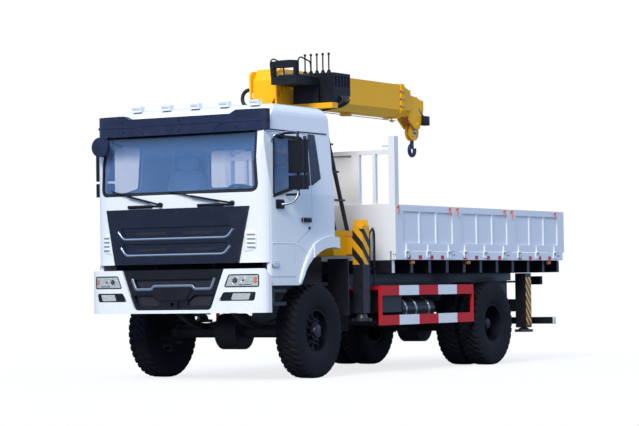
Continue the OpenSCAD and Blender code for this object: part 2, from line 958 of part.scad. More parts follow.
module lamps() color("#d8dde2") {
  both_sides() {
    intersection() {
      bumper_skin(over, lamp_t);
      along(bumper_back, x_front) {
        head_outline();
        fog_outline();
      }
    }
    block([underrun_x - tail_t / 2, tail_y, tail_z], [underrun_x + tail_t / 2, tail_y + tail_w,
      tail_z + tail_h]);
    block([underrun_x, rail_y, tail_z + tail_h / 4], [underrun_x + tail_t / 2, tail_y,
      tail_z + tail_h / 2]);
  }
}

module tanks_and_boxes() color("#2b2d30") {
  // Fuel tank on the right
  difference() {
    along(tank_x0, tank_x1) polygon(rounded([
      [-tank_y - tank_half, tank_z - tank_half], [-tank_y + tank_half, tank_z - tank_half],
      [-tank_y + tank_half, tank_z + tank_half], [-tank_y - tank_half, tank_z + tank_half]
    ], [tank_r, tank_r, tank_r, tank_r]));
  }
  for (x = [tank_x0 + 2 * strap_w, tank_x1 - 3 * strap_w])
    block([x, -tank_y + tank_half, tank_z + 2 * strap_w], [x + strap_w, -rail_y, tank_z + 3 * strap_w]);
  // Air tank and battery box on the left
  pin_x(air_y, air_z, air_d, air_x0, air_x1);
  for (x = [air_x0 + 2 * strap_w, air_x1 - 3 * strap_w])
    block([x, rail_y, air_z + air_d / 2 - strap_t * 2], [x + strap_w, air_y, air_z + air_d / 2 + strap_t]);
  block([battery_x0, battery_y0, battery_z0], [battery_x0 + battery_len, battery_y1,
    battery_z0 + battery_h]);
  block([battery_x0 + strap_w, rail_y, battery_z0 + battery_h / 2], [battery_x0 + 2 * strap_w, battery_y0,
    battery_z0 + battery_h - strap_w]);
}

module guard() {
  for (z = [guard_z0, guard_z1 - guard_bar])
    block([guard_x0, guard_y, z], [guard_x1, guard_y + guard_t, z + guard_bar]);
  for (x = [guard_x0, guard_x1 - guard_t])
    block([x, guard_y, guard_z0], [x + guard_t, guard_y + guard_t, guard_z1]);
  for (s = guard_arm_shares)
    block([guard_x0 + s * (guard_x1 - guard_x0), rail_y, guard_arm_z],
      [guard_x0 + s * (guard_x1 - guard_x0) + bracket, guard_y, guard_arm_z + bracket]);
}

module side_guards() color("#c23a3c") both_sides() guard();

// Bed
module post(x) {
  block([x, bed_half - post_t, curb_z0], [x + post_w, bed_half, side_z1]);
}

module bed_floor() color("#e9eae8") {
  both_sides() {
    block([bed_x0, beam_y0, frame_top], [bed_x1, rail_y, beam_z1]);
    block([bed_x0, bed_half - post_t, curb_z0], [bed_x1, bed_half, hinge_z - run]);
    for (k = [1:2])
      post(bed_x1 - (k + 1) * post_w - k * bay_len);
    post(bed_x0);
    for (k = [1:3])
      for (s = hinge_shares)
        translate([bed_x1 - k * (post_w + bay_len) + s * bay_len, bed_half, 0]) curb_hinge();
    translate([gate_x, 0, 0]) rotate([0, 0, 90]) for (s = gate_hinge_shares)
      translate([s * bed_half, 0, 0]) curb_hinge();
  }
  block([gate_x, -bed_half + post_t, curb_z0], [bed_x0 + post_t, bed_half - post_t, hinge_z - run]);
  for (k = [0:joist_count - 1])
    block([bed_x0 + k * (bed_x1 - bed_x0 - joist_w) / (joist_count - 1), -bed_half + post_t, beam_z1],
      [bed_x0 + k * (bed_x1 - bed_x0 - joist_w) / (joist_count - 1) + joist_w, bed_half - post_t,
        joist_z1]);
  block([bed_x0 + post_t, -bed_half + post_t, joist_z1], [bed_x1 - post_t, bed_half - post_t, floor_z]);
}

module bed_headboard() color("#e9eae8") {
  block([bed_x1 - post_t, -bed_half + rack_post_w, joist_z1], [bed_x1, bed_half - rack_post_w, head_z]);
  both_sides() {
    block([bed_x1 - post_w, bed_half - rack_post_w, hinge_z - run], [bed_x1, bed_half, rack_post_z]);
    pin_y(bed_x1 - post_w / 2, rack_post_z - peg_len, peg_d, bed_half - rack_post_w - peg_len,
      bed_half - rack_post_w);
  }
  block([bed_x1 - post_t, -bed_half + rack_post_w, rack_z - rack_bar], [bed_x1 - post_t + rack_bar,
    bed_half - rack_post_w, rack_z]);
  both_sides() for (k = [0:len(rack_bar_shares) - 1])
    block([bed_x1 - post_t, rack_bar_shares[k] * bed_half - rack_bar_ws[k] / 2, head_z],
      [bed_x1 - post_t + rack_bar, rack_bar_shares[k] * bed_half + rack_bar_ws[k] / 2, rack_z - rack_bar]);
  block([bed_x1 - post_t, -rack_sheet_share * bed_half, head_z],
    [bed_x1 - post_t + rack_sheet_t, rack_sheet_share * bed_half, rack_z - rack_bar]);
}

// Barrel of a hinge about the X axis with its leaf, up or down, on the face y = 0
module hinge_barrel(x, len, leaf) {
  pin_x(hinge_d / 2, hinge_axis_z, hinge_d, x, x + len);
  block([x, 0, min(hinge_axis_z, hinge_axis_z + leaf)], [x + len, hinge_d / 2, max(hinge_axis_z,
    hinge_axis_z + leaf)]);
}

// The fixed half of a hinge: two barrels with room for the panel's one between
module curb_hinge() {
  hinge_barrel(hinge_len / 2 + seat, hinge_len / 2, -hinge_leaf);
  hinge_barrel(-hinge_len - seat, hinge_len / 2, -hinge_leaf);
}

// A dropside of length len, hinged along its lower edge, lying in the plane y = 0 and reaching outwards to it
module dropside(len, hinges) {
  difference() {
    block([0, -side_t, 0], [len, 0, side_h]);
    for (s = field_shares)
      block([s * len, -field_depth, field_low_share * side_h], [(s + field_len_share) * len, over,
        field_high_share * side_h]);
  }
  for (x = hinges)
    translate([0, 0, -hinge_z]) hinge_barrel(x - hinge_len / 2, hinge_len, hinge_leaf);
}

module side_left(k) color("#e9eae8")
  translate([bed_x1 - k * (post_w + bay_len) + run, bed_half, hinge_z]) dropside(bay_len - 2 * run,
    [for (s = hinge_shares) s * bay_len - run]);

module side_right(k) mirror([0, 1, 0]) side_left(k);

module side_left_1() side_left(1);
module side_left_2() side_left(2);
module side_left_3() side_left(3);
module side_right_1() side_right(1);
module side_right_2() side_right(2);
module side_right_3() side_right(3);

module tailgate() color("#e9eae8")
  translate([gate_x + side_t, bed_half, hinge_z]) rotate([0, 0, -90]) mirror([0, 1, 0])
    translate([0, side_t, 0])
      dropside(bed_w, [for (s = gate_hinge_shares) for (side = [-1, 1]) bed_half + side * s * bed_half]);

// Crane base and outriggers
module beam_hole(x, y0, y1) {
  block([x - beam_w / 2 - run, y0, base_z0 + beam_wall], [x + beam_w / 2 + run, y1,
    base_z0 + beam_wall + beam_h + run]);
}

module crane_base() color("#e3a51c") {
  difference() {
    block([slew_x - base_len / 2, -base_half, base_z0], [slew_x + base_len / 2, base_half, base_z1]);
    beam_hole(slew_x - beam_off, -base_half + beam_wall, base_half + over);
    beam_hole(slew_x + beam_off, -base_half - over, base_half - beam_wall);
  }
  block([slew_x - base_len / 2, -pedestal_half, frame_top], [slew_x + base_len / 2, pedestal_half,
    base_z0]);
  pin_z(slew_x, 0, turn_d, base_z1, base_z1 + turn_h - seat);
}

// Left outrigger: the beam and the jack leg's housing at its end
module outrigger(x) color("#232427") {
  y_out = jack_y + front_leg_d / 2;
  block([x - beam_w / 2, -base_half + 3 * beam_wall, base_z0 + beam_wall + seat], [x + beam_w / 2,
    jack_y - front_leg_d / 2, base_z0 + beam_wall + seat + beam_h]);
  difference() {
    block([x - front_leg_w / 2, jack_y - front_leg_d / 2, front_leg_z0], [x + front_leg_w / 2, y_out,
      front_leg_z1]);
    pin_z(x, jack_y, ram_d + 2 * seat, front_leg_z0 - over, front_leg_z1 - 2 * leg_t);
  }
  for (side = [-1, 1])
    block([x + side * front_leg_w / 4 - leg_t / 2, jack_y - front_leg_d / 2, front_leg_z1],
      [x + side * front_leg_w / 4 + leg_t / 2, y_out, front_leg_z1 + clevis_h]);
}

module outrigger_left() outrigger(slew_x - beam_off);
module outrigger_right() mirror([0, 1, 0]) outrigger(slew_x + beam_off);

// Jack foot: a ram in its housing and the foot plate below
module jack(x, y, z0, z_house, z_top) color("#34363a") {
  pin_z(x, y, ram_d, z0 + foot_t, z_top);
  pin_z(x, y, foot_d, z0, z0 + foot_t);
  translate([x, y, z0 + foot_t]) cylinder(d1 = foot_cone_d * foot_cone_share, d2 = foot_cone_d,
    h = z_house - run - z0 - foot_t);
}

module jack_front_left() jack(slew_x - beam_off, jack_y, front_foot_z, front_leg_z0,
  front_leg_z1 - 3 * leg_t);
module jack_front_right() mirror([0, 1, 0]) jack(slew_x + beam_off, jack_y, front_foot_z, front_leg_z0,
  front_leg_z1 - 3 * leg_t);
module jack_rear_left() jack(leg_x, (leg_y0 + leg_y1) / 2, leg_z0 - foot_t - foot_gap - run, leg_z0,
  leg_z1 - 2 * leg_t);
module jack_rear_right() mirror([0, 1, 0]) jack_rear_left();

// Rail of the ladder from below the base's top up to the leaning end
module ladder_rail(x) {
  way = [ladder_lean, ladder_y1 - ladder_y0, ladder_z1 - ladder_z0];
  foot = [x, ladder_y0, ladder_z0];
  translate(foot) rotate([0, acos(way[2] / norm(way)), atan2(way[1], way[0])])
    block([-ladder_d / 2, -ladder_d / 2, -ladder_d], [ladder_d / 2, ladder_d / 2, norm(way)]);
}

module ladder() color("#1c1d20") {
  difference() {
    for (dx = [0, -ladder_w])
      ladder_rail(ladder_x + dx);
    block([ladder_x - 2 * ladder_w, 0, ladder_z0 - 2 * ladder_d], [ladder_x + 2 * ladder_w, cab_half,
      ladder_z0]);
  }
  for (s = tread_shares)
    translate([ladder_x + s * ladder_lean - ladder_w / 2, ladder_y0 + s * (ladder_y1 - ladder_y0),
      ladder_z0 + s * (ladder_z1 - ladder_z0)])
      block([-ladder_w / 2, -tread_d / 2, -tread_t / 2], [ladder_w / 2, tread_d / 2, tread_t / 2]);
}

// Cab
module cab_side(i) polygon(rounded([
    [cab_x0 + i, cab_z0 - over], [cab_x1 - i, cab_z0 - over], [cab_x1 - i, belt_z], [screen_top_x - i,
      screen_top_z],
    [crown_x, roof_z - i], [cab_x0 + i, roof_z - i]
  ], [0, 0, 0, roof_r, roof_r * 2, roof_r], 6));

module cab_plan(i) polygon(concat(
    [[cab_x0 + i, -cab_half + i]],
    [for (k = [plan_steps:-1:0]) wrap(cab_x1 - i, cab_half - i, nose_round - i, nose_power)[k]],
    [[cab_x0 + i, cab_half - i]]));

module cab_face(i) polygon(rounded([
    [-cab_half + i, cab_z0 - over], [cab_half - i, cab_z0 - over], [cab_half - i, belt_z],
      [cab_half - roof_in - i, roof_z - i],
    [-cab_half + roof_in + i, roof_z - i], [-cab_half + i, belt_z]
  ], [0, 0, 0, roof_r, roof_r, 0], 6));

// Hollow under the cab floor, open at the back
module cab_under() polygon(concat(
    [[cab_x0 - over, -cab_half + wall]],
    [for (k = [plan_steps:-1:0]) wrap(cab_x1 - wall, cab_half - wall, nose_round - wall, nose_power)[k]],
    [[cab_x0 - over, cab_half - wall]]));

// The cab's outer form, set in by i
module cab_solid(i) {
  intersection() {
    across(-cab_half - visor_t, cab_half + visor_t) cab_side(i);
    upward(cab_z0, roof_z + visor_t) cab_plan(i);
    along(cab_x0 - over, cab_x1 + visor_t) cab_face(i);
  }
}

module cab_skin() {
  difference() {
    cab_solid(0);
    intersection() {
      cab_solid(wall);
      block([cab_x0, -cab_half, cab_floor + cab_floor_t], [cab_x1, cab_half, roof_z]);
    }
    upward(cab_z0 - over, cab_floor) cab_under();
  }
}

function door_points(g) = rounded([
    [door_x1 + g, door_z0 - g], [door_x1 + g, belt_z], [screen_top_x - wall + g, door_z1 + g],
      [door_x0 - g, door_z1 + g],
    [door_x0 - g, door_waist_z - g], [door_cut_x - g, door_cut_z - g], [door_cut_x - g, door_z0 - g]
  ], [door_r / 2, 0, door_r, door_r, door_r, door_r, door_r / 2], 4);

module win_outline() polygon(rounded([
    [win_x1, win_front_z], [win_x1 - 2 * wall, win_z1], [win_x0, win_z1], [win_x0, win_rear_z]
  ], [win_r, win_r, win_r, win_r], 4));

module screen_outline() polygon(rounded([
    [-screen_half_low, screen_z0], [screen_half_low, screen_z0], [screen_half_high, screen_z1],
      [-screen_half_high, screen_z1]
  ], [screen_r, screen_r, screen_r, screen_r], 4));

module rear_win_outline() polygon(rounded([
    [-rear_win_half, rear_win_z0], [rear_win_half, rear_win_z0], [rear_win_half, rear_win_z1],
      [-rear_win_half, rear_win_z1]
  ], [win_r, win_r, win_r, win_r], 4));

module cab_shell() color("#e8e9e6") {
  difference() {
    intersection() {
      cab_skin();
      block([cab_x0 - over, -cab_w, cab_z0 - over], [front_split, cab_w, roof_split]);
    }
    difference() {
      across(-cab_w, cab_w) polygon(door_points(door_gap));
      cab_solid(wall - lip_t);
    }
    difference() {
      across(-cab_w, cab_w) polygon(door_points(-lip_w));
      cab_solid(wall);
    }
    // No lip at the hinge edge, which swings back
    difference() {
      intersection() {
        across(-cab_w, cab_w) polygon(door_points(door_gap));
        block([door_x1 - hinge_relief, -cab_w, cab_z0], [door_x1 + wall, cab_w, door_z1]);
      }
      cab_solid(wall);
    }
    pin_y(arch_x, arch_z, 2 * arch_r, -cab_w, cab_w);
    along(cab_x0 - over, cab_x0 + 2 * wall) rear_win_outline();
    along(front_split - 2 * wall, cab_x1) screen_outline();
    block([cab_x0 - over, -engine_half - 2 * run, cab_z0 - over], [cab_x0 + 2 * wall,
      engine_half + 2 * run, cab_floor]);
  }
  both_sides() across(cab_half - flare_in, cab_half + flare_out) intersection() {
    translate([arch_x, arch_z]) difference() {
      circle(r = arch_r + flare_w, $fn = 96);
      circle(r = arch_r, $fn = 96);
    }
    translate([cab_x0 - flare_tail, arch_z + arch_r / 2]) square([door_x0 - cab_x0 + flare_tail - run,
      arch_r]);
  }
}

module cab_roof() color("#e8e9e6") {
  intersection() {
    cab_skin();
    block([cab_x0 - over, -cab_w, roof_split], [cab_x1 + over, cab_w, roof_z + over]);
  }
  for (s = marker_y_shares)
    block([cab_x1 - marker_back, s * cab_half - marker_w / 2, roof_z - wall / 2],
      [cab_x1 - marker_back + marker_d, s * cab_half + marker_w / 2, roof_z + marker_h]);
}

module cab_front() color("#e8e9e6") {
  difference() {
    intersection() {
      cab_skin();
      block([front_split, -cab_w, nose_z], [cab_x1 + over, cab_w, roof_split]);
    }
    along(cab_x1 - nose_round - wall, cab_x1 + over) screen_outline();
  }
  both_sides() difference() {
    block([tilt_x - tilt_eye, tilt_y1 + run, nose_z], [cab_x1 - wall + over, tilt_lug_y1,
      tilt_z + tilt_eye]);
    pin_y(tilt_x, tilt_z, tilt_d + 2 * seat, tilt_y1, tilt_lug_y1 + over);
  }
}

module cab_glass() color("#33424a") {
  intersection() {
    difference() {
      cab_solid(glass_in);
      cab_solid(glass_in + glass_t);
    }
    union() {
      along(front_split - wall, cab_x1) screen_outline();
      along(cab_x0, cab_x0 + wall) rear_win_outline();
    }
  }
}

// Visor seen from above, a box that stands off the sloping roof
module visor_plan(i) polygon(concat(
    [[visor_back, -visor_half + i]],
    [for (k = [plan_steps:-1:0]) wrap(visor_x - i, visor_half - i, visor_round - i, visor_power)[k]],
    [[visor_back, visor_half - i]]));

module sun_visor() color("#16181f") {
  difference() {
    upward(visor_z0, visor_z1) visor_plan(0);
    cab_solid(0);
    block([visor_back - over, -visor_hollow, visor_z0 + visor_lip],
      [visor_x - visor_wall, visor_hollow, visor_z1 - visor_dip - visor_wall / 2]);
    along(visor_back - over, cab_x1 + visor_t) polygon([
      [-visor_dip_half - visor_dip_run, visor_z1 + over], [-visor_dip_half, visor_z1 - visor_dip],
      [visor_dip_half, visor_z1 - visor_dip], [visor_dip_half + visor_dip_run, visor_z1 + over]
    ]);
    difference() {
      upward(visor_line_z, visor_line_z + visor_line) visor_plan(-over);
      upward(visor_line_z - over, visor_line_z + visor_line + over) visor_plan(visor_line);
      both_sides() block([visor_back - over, visor_dip_half, visor_z0], [cab_x1, cab_w, visor_z1]);
    }
  }
  bar([stem_x, round_y, visor_z0 + visor_foot], [round_x, round_y, round_z], stem_d);
  pin_x(round_y, round_z, round_d, round_x - round_t / 2, round_x + round_t / 2);
}

// One long recess of the grille, from height z up
module grille_slot(z, half) {
  difference() {
    along(cab_x1 - nose_round, cab_x1 + 2 * grille_t) polygon([
      [-half, z], [half, z], [half + slot_slant, z + slot_h], [-half - slot_slant, z + slot_h]
    ]);
    cab_solid(slot_depth - grille_t);
  }
}

module grille() color("#2a2c30") {
  difference() {
    intersection() {
      difference() {
        cab_solid(-grille_t);
        cab_solid(0);
      }
      along(cab_x1 - nose_round, cab_x1 + 2 * grille_t) polygon([
        [-grille_low, nose_z], [grille_low, nose_z], [grille_high, grille_z1], [-grille_high, grille_z1]
      ]);
    }
    for (k = [0:len(slot_z_shares) - 1])
      grille_slot(nose_z + slot_z_shares[k] * (grille_z1 - nose_z), slot_half_shares[k] * cab_half);
  }
}

module cab_seat() {
  block([seat_x, -seat_w / 2, seat_z - seat_h], [seat_x + seat_len, seat_w / 2, seat_z]);
  block([seat_x - back_t, -seat_w / 2, seat_z - seat_h], [seat_x, seat_w / 2, seat_z + back_h]);
  block([seat_x, -seat_w / 3, cab_floor + cab_floor_t], [seat_x + seat_len * plinth_share, seat_w / 3,
    seat_z - seat_h]);
}

module seats() color("#77797c") both_sides() translate([0, seat_y, 0]) cab_seat();

module dashboard() color("#3b3e43") {
  across(-dash_half, dash_half) polygon(rounded([
    [dash_x1, dash_z0], [dash_x1, dash_z1], [dash_x0 + wall, dash_z1], [dash_x0, dash_z1 - 2 * wall],
      [dash_x0 + wall, dash_z0]
  ], [0, wall, wall, wall, 0], 4));
  block([dash_x1 - 2 * wall, -dash_half / 2, cab_floor + cab_floor_t], [dash_x1, dash_half / 2, dash_z0]);
  translate([wheel_x, seat_y, wheel_z]) rotate([0, wheel_tilt - 90, 0]) {
    rotate_extrude() translate([wheel_d / 2 - wheel_t / 2, 0]) circle(d = wheel_t, $fn = 16);
    translate([0, 0, -column_len]) cylinder(d = wheel_t * 2, h = column_len + wheel_t / 2);
    for (a = [0, 120, 240])
      rotate([0, 0, a]) block([0, -wheel_t / 2, -wheel_t / 4], [wheel_d / 2 - wheel_t / 2, wheel_t / 2,
        wheel_t / 4]);
  }
}

module door() {
  difference() {
    intersection() {
      cab_skin_side();
      across(0, cab_w) polygon(door_points(0));
    }
    across(0, cab_w) win_outline();
  }
  block([handle_x - handle_len / 2, cab_half, handle_z - handle_h / 2], [handle_x + handle_len / 2,
    cab_half + handle_t, handle_z + handle_h / 2]);
}

// The cab's left wall alone, down to the door's lower edge
module cab_skin_side() {
  difference() {
    cab_solid(0);
    cab_solid(wall - lip_t - seat);
    block([cab_x0 - over, -cab_w, cab_z0 - over], [cab_x1 + over, cab_half / 2, roof_z + over]);
  }
}

module door_left() color("#e8e9e6") door();
module door_right() color("#e8e9e6") mirror([0, 1, 0]) door();

module door_pane() {
  intersection() {
    difference() {
      cab_solid(glass_in);
      cab_solid(glass_in + glass_t);
    }
    across(cab_half / 2, cab_w) win_outline();
  }
}

module door_glass_left() color("#33424a") door_pane();
module door_glass_right() color("#33424a") mirror([0, 1, 0]) door_pane();

module mirror_set() color("#1b1c1f") difference() {
  mirror_frame();
  cab_solid(0);
}

// Two heads on one post, with an arm to the door above and below
module mirror_frame() {
  x_mid = mirror_x0 + mirror_t / 2;
  y_mid = (mirror_y0 + mirror_y1) / 2;
  for (z = [[mirror_z0, mirror_z1], [mirror_low_z0, mirror_low_z1]])
    upward(z[0], z[1]) polygon(rounded([
      [mirror_x0, mirror_y0], [mirror_x0 + mirror_t, mirror_y0], [mirror_x0 + mirror_t, mirror_y1],
        [mirror_x0, mirror_y1]
    ], [mirror_d / 2, mirror_t / 3, mirror_t / 3, mirror_d / 2], 3));
  pin_z(x_mid, y_mid, mirror_d, mirror_low_z, mirror_top_z);
  for (z = [mirror_low_z, mirror_top_z])
    pin_y(x_mid, z, mirror_d, cab_half - roof_in, y_mid + mirror_d / 2);
}

module mirror_left() mirror_set();
module mirror_right() mirror([0, 1, 0]) mirror_set();

// Wheels
module tyre() color("#17181a") {
  h = (tyre_d - rim_d) / 2;
  right = [for (k = [0:len(tyre_w_shares) - 1]) [rim_d / 2 + tyre_h_shares[k] * h,
    tyre_w_shares[k] * tyre_w / 2]];
  left = [for (k = [len(tyre_w_shares) - 1:-1:0]) [right[k][0], -right[k][1]]];
  rotate([90, 0, 0]) rotate_extrude($fn = 72) polygon(concat(right, left));
}

// Disc wheel about the Y axis, its disc at the distance disc outward of the middle
module rim(disc) color("#1d1e21") {
  r = rim_d / 2 - bead_gap;
  difference() {
    rotate([-90, 0, 0]) union() {
      rotate_extrude($fn = 72) {
        translate([r - rim_t, -rim_w / 2]) square([rim_t, rim_w]);
        translate([spindle_d / 2 + seat, disc - disc_t])
          square([r - rim_t - spindle_d / 2 - seat + rim_t / 2, disc_t]);
        translate([spindle_d / 2 + seat, disc - disc_t - hub_len / 2])
          square([hub_d / 2 - spindle_d / 2 - seat, hub_len]);
      }
    }
    for (k = [0:hand_holes - 1])
      rotate([0, 360 * k / hand_holes, 0]) translate([hand_ring_share * r, disc + over, 0]) rotate([90, 0,
        0]) cylinder(d = hand_d, h = disc_t + 2 * over, $fn = 24);
  }
}

module knuckle() color("#2d2f33") {
  translate([fa, 0, axle_z]) {
    for (side = [-1, 1]) {
      block([-arm_w / 2, king_y - arm_w / 2, side * (arm_z + arm_t / 2) - arm_t / 2], [arm_w / 2, plate_y,
        side * (arm_z + arm_t / 2) + arm_t / 2]);
    }
    translate([0, king_y, -arm_z - arm_t / 2]) cylinder(d = spindle_d / 2, h = 2 * arm_z + arm_t);
    rotate([-90, 0, 0]) {
      translate([0, 0, plate_y]) cylinder(d = plate_d, h = plate_t);
      translate([0, 0, plate_y]) cylinder(d = spindle_d, h = spindle_len);
    }
  }
}

module knuckle_left() knuckle();
module knuckle_right() mirror([0, 1, 0]) knuckle();
module tyre_front_left() translate([fa, front_track / 2, axle_z]) tyre();
module tyre_front_right() mirror([0, 1, 0]) tyre_front_left();
module rim_front_left() translate([fa, front_track / 2, axle_z]) rim(front_disc);
module rim_front_right() mirror([0, 1, 0]) rim_front_left();

module tyres_rear_left() {
  for (side = [-1, 1])
    translate([ra, rear_track / 2 + side * twin_spacing / 2, axle_z]) tyre();
}

module tyres_rear_right() mirror([0, 1, 0]) tyres_rear_left();

module rims_rear_left() {
  translate([ra, rear_track / 2 + twin_spacing / 2, axle_z]) mirror([0, 1, 0]) rim(twin_disc);
  translate([ra, rear_track / 2 - twin_spacing / 2, axle_z]) rim(twin_disc);
}

module rims_rear_right() mirror([0, 1, 0]) rims_rear_left();

// Crane column: slews on the base, carries the boom pin, the winch and the seat's arm
module crane_column() color("#e6a81e") {
  pin_z(slew_x, 0, turn_d - 2 * turn_h, column_z0, column_z0 + turn_h);
  across(-ear_y, ear_y) polygon([
    [slew_x - column_back, column_z0 + turn_h / 2], [slew_x + column_back, column_z0 + turn_h / 2],
    [slew_x + column_back, luff_low_z], [slew_x + column_back, column_mid_z], [slew_x - column_back / 2,
      column_mid_z],
    [slew_x - column_back, luff_low_z + luff_low_r]
  ]);
  both_sides() across(ear_y, ear_y + ear_t) difference() {
    polygon(rounded([
      [slew_x - column_back, column_z0 + turn_h / 2], [slew_x + column_back, column_z0 + turn_h / 2],
      [slew_x + column_back + ear_r / 3, column_mid_z], [boom_pin_x + ear_r, ear_top],
        [boom_pin_x - ear_r, ear_top],
      [slew_x - column_back / 2, column_mid_z], [slew_x - column_back, luff_low_z + luff_low_r]
    ], [0, 0, ear_r / 2, ear_r / 2, ear_r / 2, ear_r / 2, ear_r / 2], 4));
    for (h = ear_holes)
      translate([boom_pin_x + h[0], boom_pin_z + h[1]]) circle(d = h[2], $fn = 32);
  }
  pin_y(boom_pin_x, boom_pin_z, boom_pin_d, -ear_y - ear_t * 2, ear_y + ear_t * 2);
  // Lugs and pin of the luffing cylinder
  both_sides() across(lug_gap, lug_gap + lug_t) polygon([
    [slew_x - column_back, luff_low_z - luff_eye_d / 2], [slew_x - column_back, luff_low_z + luff_eye_d],
    [slew_x - luff_low_r - luff_eye_d / 2, luff_low_z + luff_eye_d / 3],
    [slew_x - luff_low_r - luff_eye_d / 2, luff_low_z - luff_eye_d / 3]
  ]);
  pin_y(slew_x - luff_low_r, luff_low_z, luff_pin_d, -lug_gap - lug_t, lug_gap + lug_t);
  // Winch
  pin_y(winch_x, winch_z, winch_d, -winch_half, winch_half);
  block([slew_x + column_back, -winch_half, winch_z - winch_d / 4], [winch_x, winch_half,
    winch_z + winch_d / 4]);
  // Arm of the control seat
  block([slew_x - seat_arm_h, ear_y + ear_t, seat_arm_z], [slew_x + seat_arm_h, seat_arm_y1,
    seat_arm_z + seat_arm_h]);
}

module control_seat() color("#1f2126") {
  z0 = seat_arm_z + seat_arm_h;
  // Chair
  block([chair_x0, chair_y0, chair_z], [chair_x1, chair_y1, chair_z + chair_t]);
  for (y = [chair_y0, chair_y1 - chair_post])
    block([chair_x1 - chair_back_t, y, chair_z + chair_t], [chair_x1, y + chair_post,
      chair_back_z - chair_pad_h / 2]);
  block([chair_x1 - chair_back_t, chair_y0, chair_back_z - chair_pad_h], [chair_x1, chair_y1,
    chair_back_z]);
  block([slew_x - seat_arm_h, chair_y0, z0], [slew_x + seat_arm_h, chair_y1, chair_z]);
  // Cooler housing with louvres
  difference() {
    across(cool_y0, cool_y1) polygon([
      [cool_x0, z0 + (cool_z1 - z0) * (1 - cool_low_share)],
        [cool_x0 + (cool_x1 - cool_x0) * (1 - cool_nose_share), z0], [cool_x1, z0], [cool_x1, cool_z1],
        [cool_x0, cool_z1]
    ]);
    for (k = [0:louvre_count - 1])
      block([cool_x0 + louvre_w + k * (cool_x1 - cool_x0 - louvre_w) / louvre_count,
        cool_y1 - louvre_depth, z0 + (cool_z1 - z0) * cool_nose_share],
        [cool_x0 + 2 * louvre_w + k * (cool_x1 - cool_x0 - louvre_w) / louvre_count, cool_y1 + over,
          cool_z1 - louvre_w]);
  }
  block([cool_x1, cool_y0, z0], [slew_x - seat_arm_h, cool_y1, z0 + seat_arm_h]);
  // Levers
  for (k = [0:lever_count - 1]) {
    y = cool_y0 + (k + 1) * (cool_y1 - cool_y0) / (lever_count + 1);
    pin_z(cool_x1 - lever_knob, y, lever_d, cool_z1, cool_z1 + lever_len - lever_knob / 2);
    translate([cool_x1 - lever_knob, y, cool_z1 + lever_len - lever_knob / 2])
      sphere(d = lever_knob, $fn = 16);
  }
}

// Boom section: number k counted from the outside, closed profile about the X axis
module boom_profile(k, i) {
  w = boom_w - 2 * k * boom_step - 2 * i;
  h = boom_h - k * (boom_t * 2 + run) - 2 * i;
  z = boom_z0 + k * (boom_t + seat) + i;
  polygon([
    [-w * boom_bottom_share / 2, z], [w * boom_bottom_share / 2, z], [w / 2, z + h * boom_bevel_share],
      [w / 2, z + h],
    [-w / 2, z + h], [-w / 2, z + h * boom_bevel_share]
  ]);
}

module boom_section(k) {
  x1 = boom_x1 - k * boom_in - (k > 0 ? boom_in : 0);
  x0 = boom_x0 - k * boom_out;
  difference() {
    along(x0, x1) boom_profile(k, 0);
    along(x0 - over, x1 + over) boom_profile(k, boom_t);
  }
}

module boom_1() color("#e6a81e") {
  difference() {
    union() {
      boom_section(0);
      difference() {
        along(boom_x0, boom_x0 + collar_w) boom_profile(0, -collar_t);
        along(boom_x0 - over, boom_x0 + collar_w + over) boom_profile(0, 0);
      }
      along(boom_x1 - boom_tail * tail_share, boom_x1) boom_profile(0, 0);
      block([guide_x, -guide_w / 2, boom_z0 - guide_h], [guide_x + guide_w, guide_w / 2, boom_z0]);
    }
    pin_y(boom_pin_x, boom_pin_z, boom_pin_d + 2 * seat, -boom_w, boom_w);
    across(-boom_w, boom_w) polygon([
      [boom_x1 - tail_cut_x, boom_z1 + over], [boom_x1 + over, boom_z1 - tail_cut_z], [boom_x1 + over,
        boom_z1 + over]
    ]);
  }
  both_sides() across(lug_gap, lug_gap + lug_t) polygon([
    [luff_high_x - luff_eye_d, boom_z0], [luff_high_x + luff_eye_d, boom_z0],
    [luff_high_x + rod_eye_d / 2, luff_high_z - rod_eye_d / 2],
    [luff_high_x - rod_eye_d / 2, luff_high_z - rod_eye_d / 2]
  ]);
  both_sides() pin_y(luff_high_x, luff_high_z, luff_pin_d, lug_gap + lug_t, lug_gap + 2 * lug_t);
}

module boom_2() color("#e6a81e") boom_section(1);
module boom_3() color("#e6a81e") boom_section(2);

// Innermost section with the boom head, its sheaves and the limit switch box
module boom_4() color("#e6a81e") {
  x0 = boom_x0 - 3 * boom_out;
  boom_section(3);
  along(x0 - head_t, x0) boom_profile(3, 0);
  both_sides() across(head_half - head_t, head_half) polygon([
    [x0 - head_t, boom_z0 + boom_h * head_share], [x0 - head_t, hook_z + sheave_d / 4],
      [hook_x + sheave_d / 4, hook_z - sheave_d / 4],
    [hook_x - sheave_d / 4, hook_z - sheave_d / 4], [x0 - head_len, boom_z0 + boom_h * tip_low_share],
      [x0 - head_len, boom_z0 + boom_h * tip_high_share]
  ]);
  pin_y(x0 - head_len * sheave_x_share, boom_z0 + boom_h * sheave_z_share, sheave_d, -head_half + head_t,
    head_half - head_t);
  pin_y(hook_x, hook_z, hook_pin_d, -head_half - head_t / 2, head_half + head_t / 2);
  block([x0 - head_len - box_w / 2, head_half - head_t, hook_z], [x0 - head_len + box_w / 2,
    head_half + box_w / 2, hook_z + box_w]);
}

module luff_frame() {
  translate([slew_x - luff_low_r, 0, luff_low_z])
    rotate([0, -atan2(luff_high_r - luff_low_r, luff_high_z - luff_low_z), 0]) children();
}

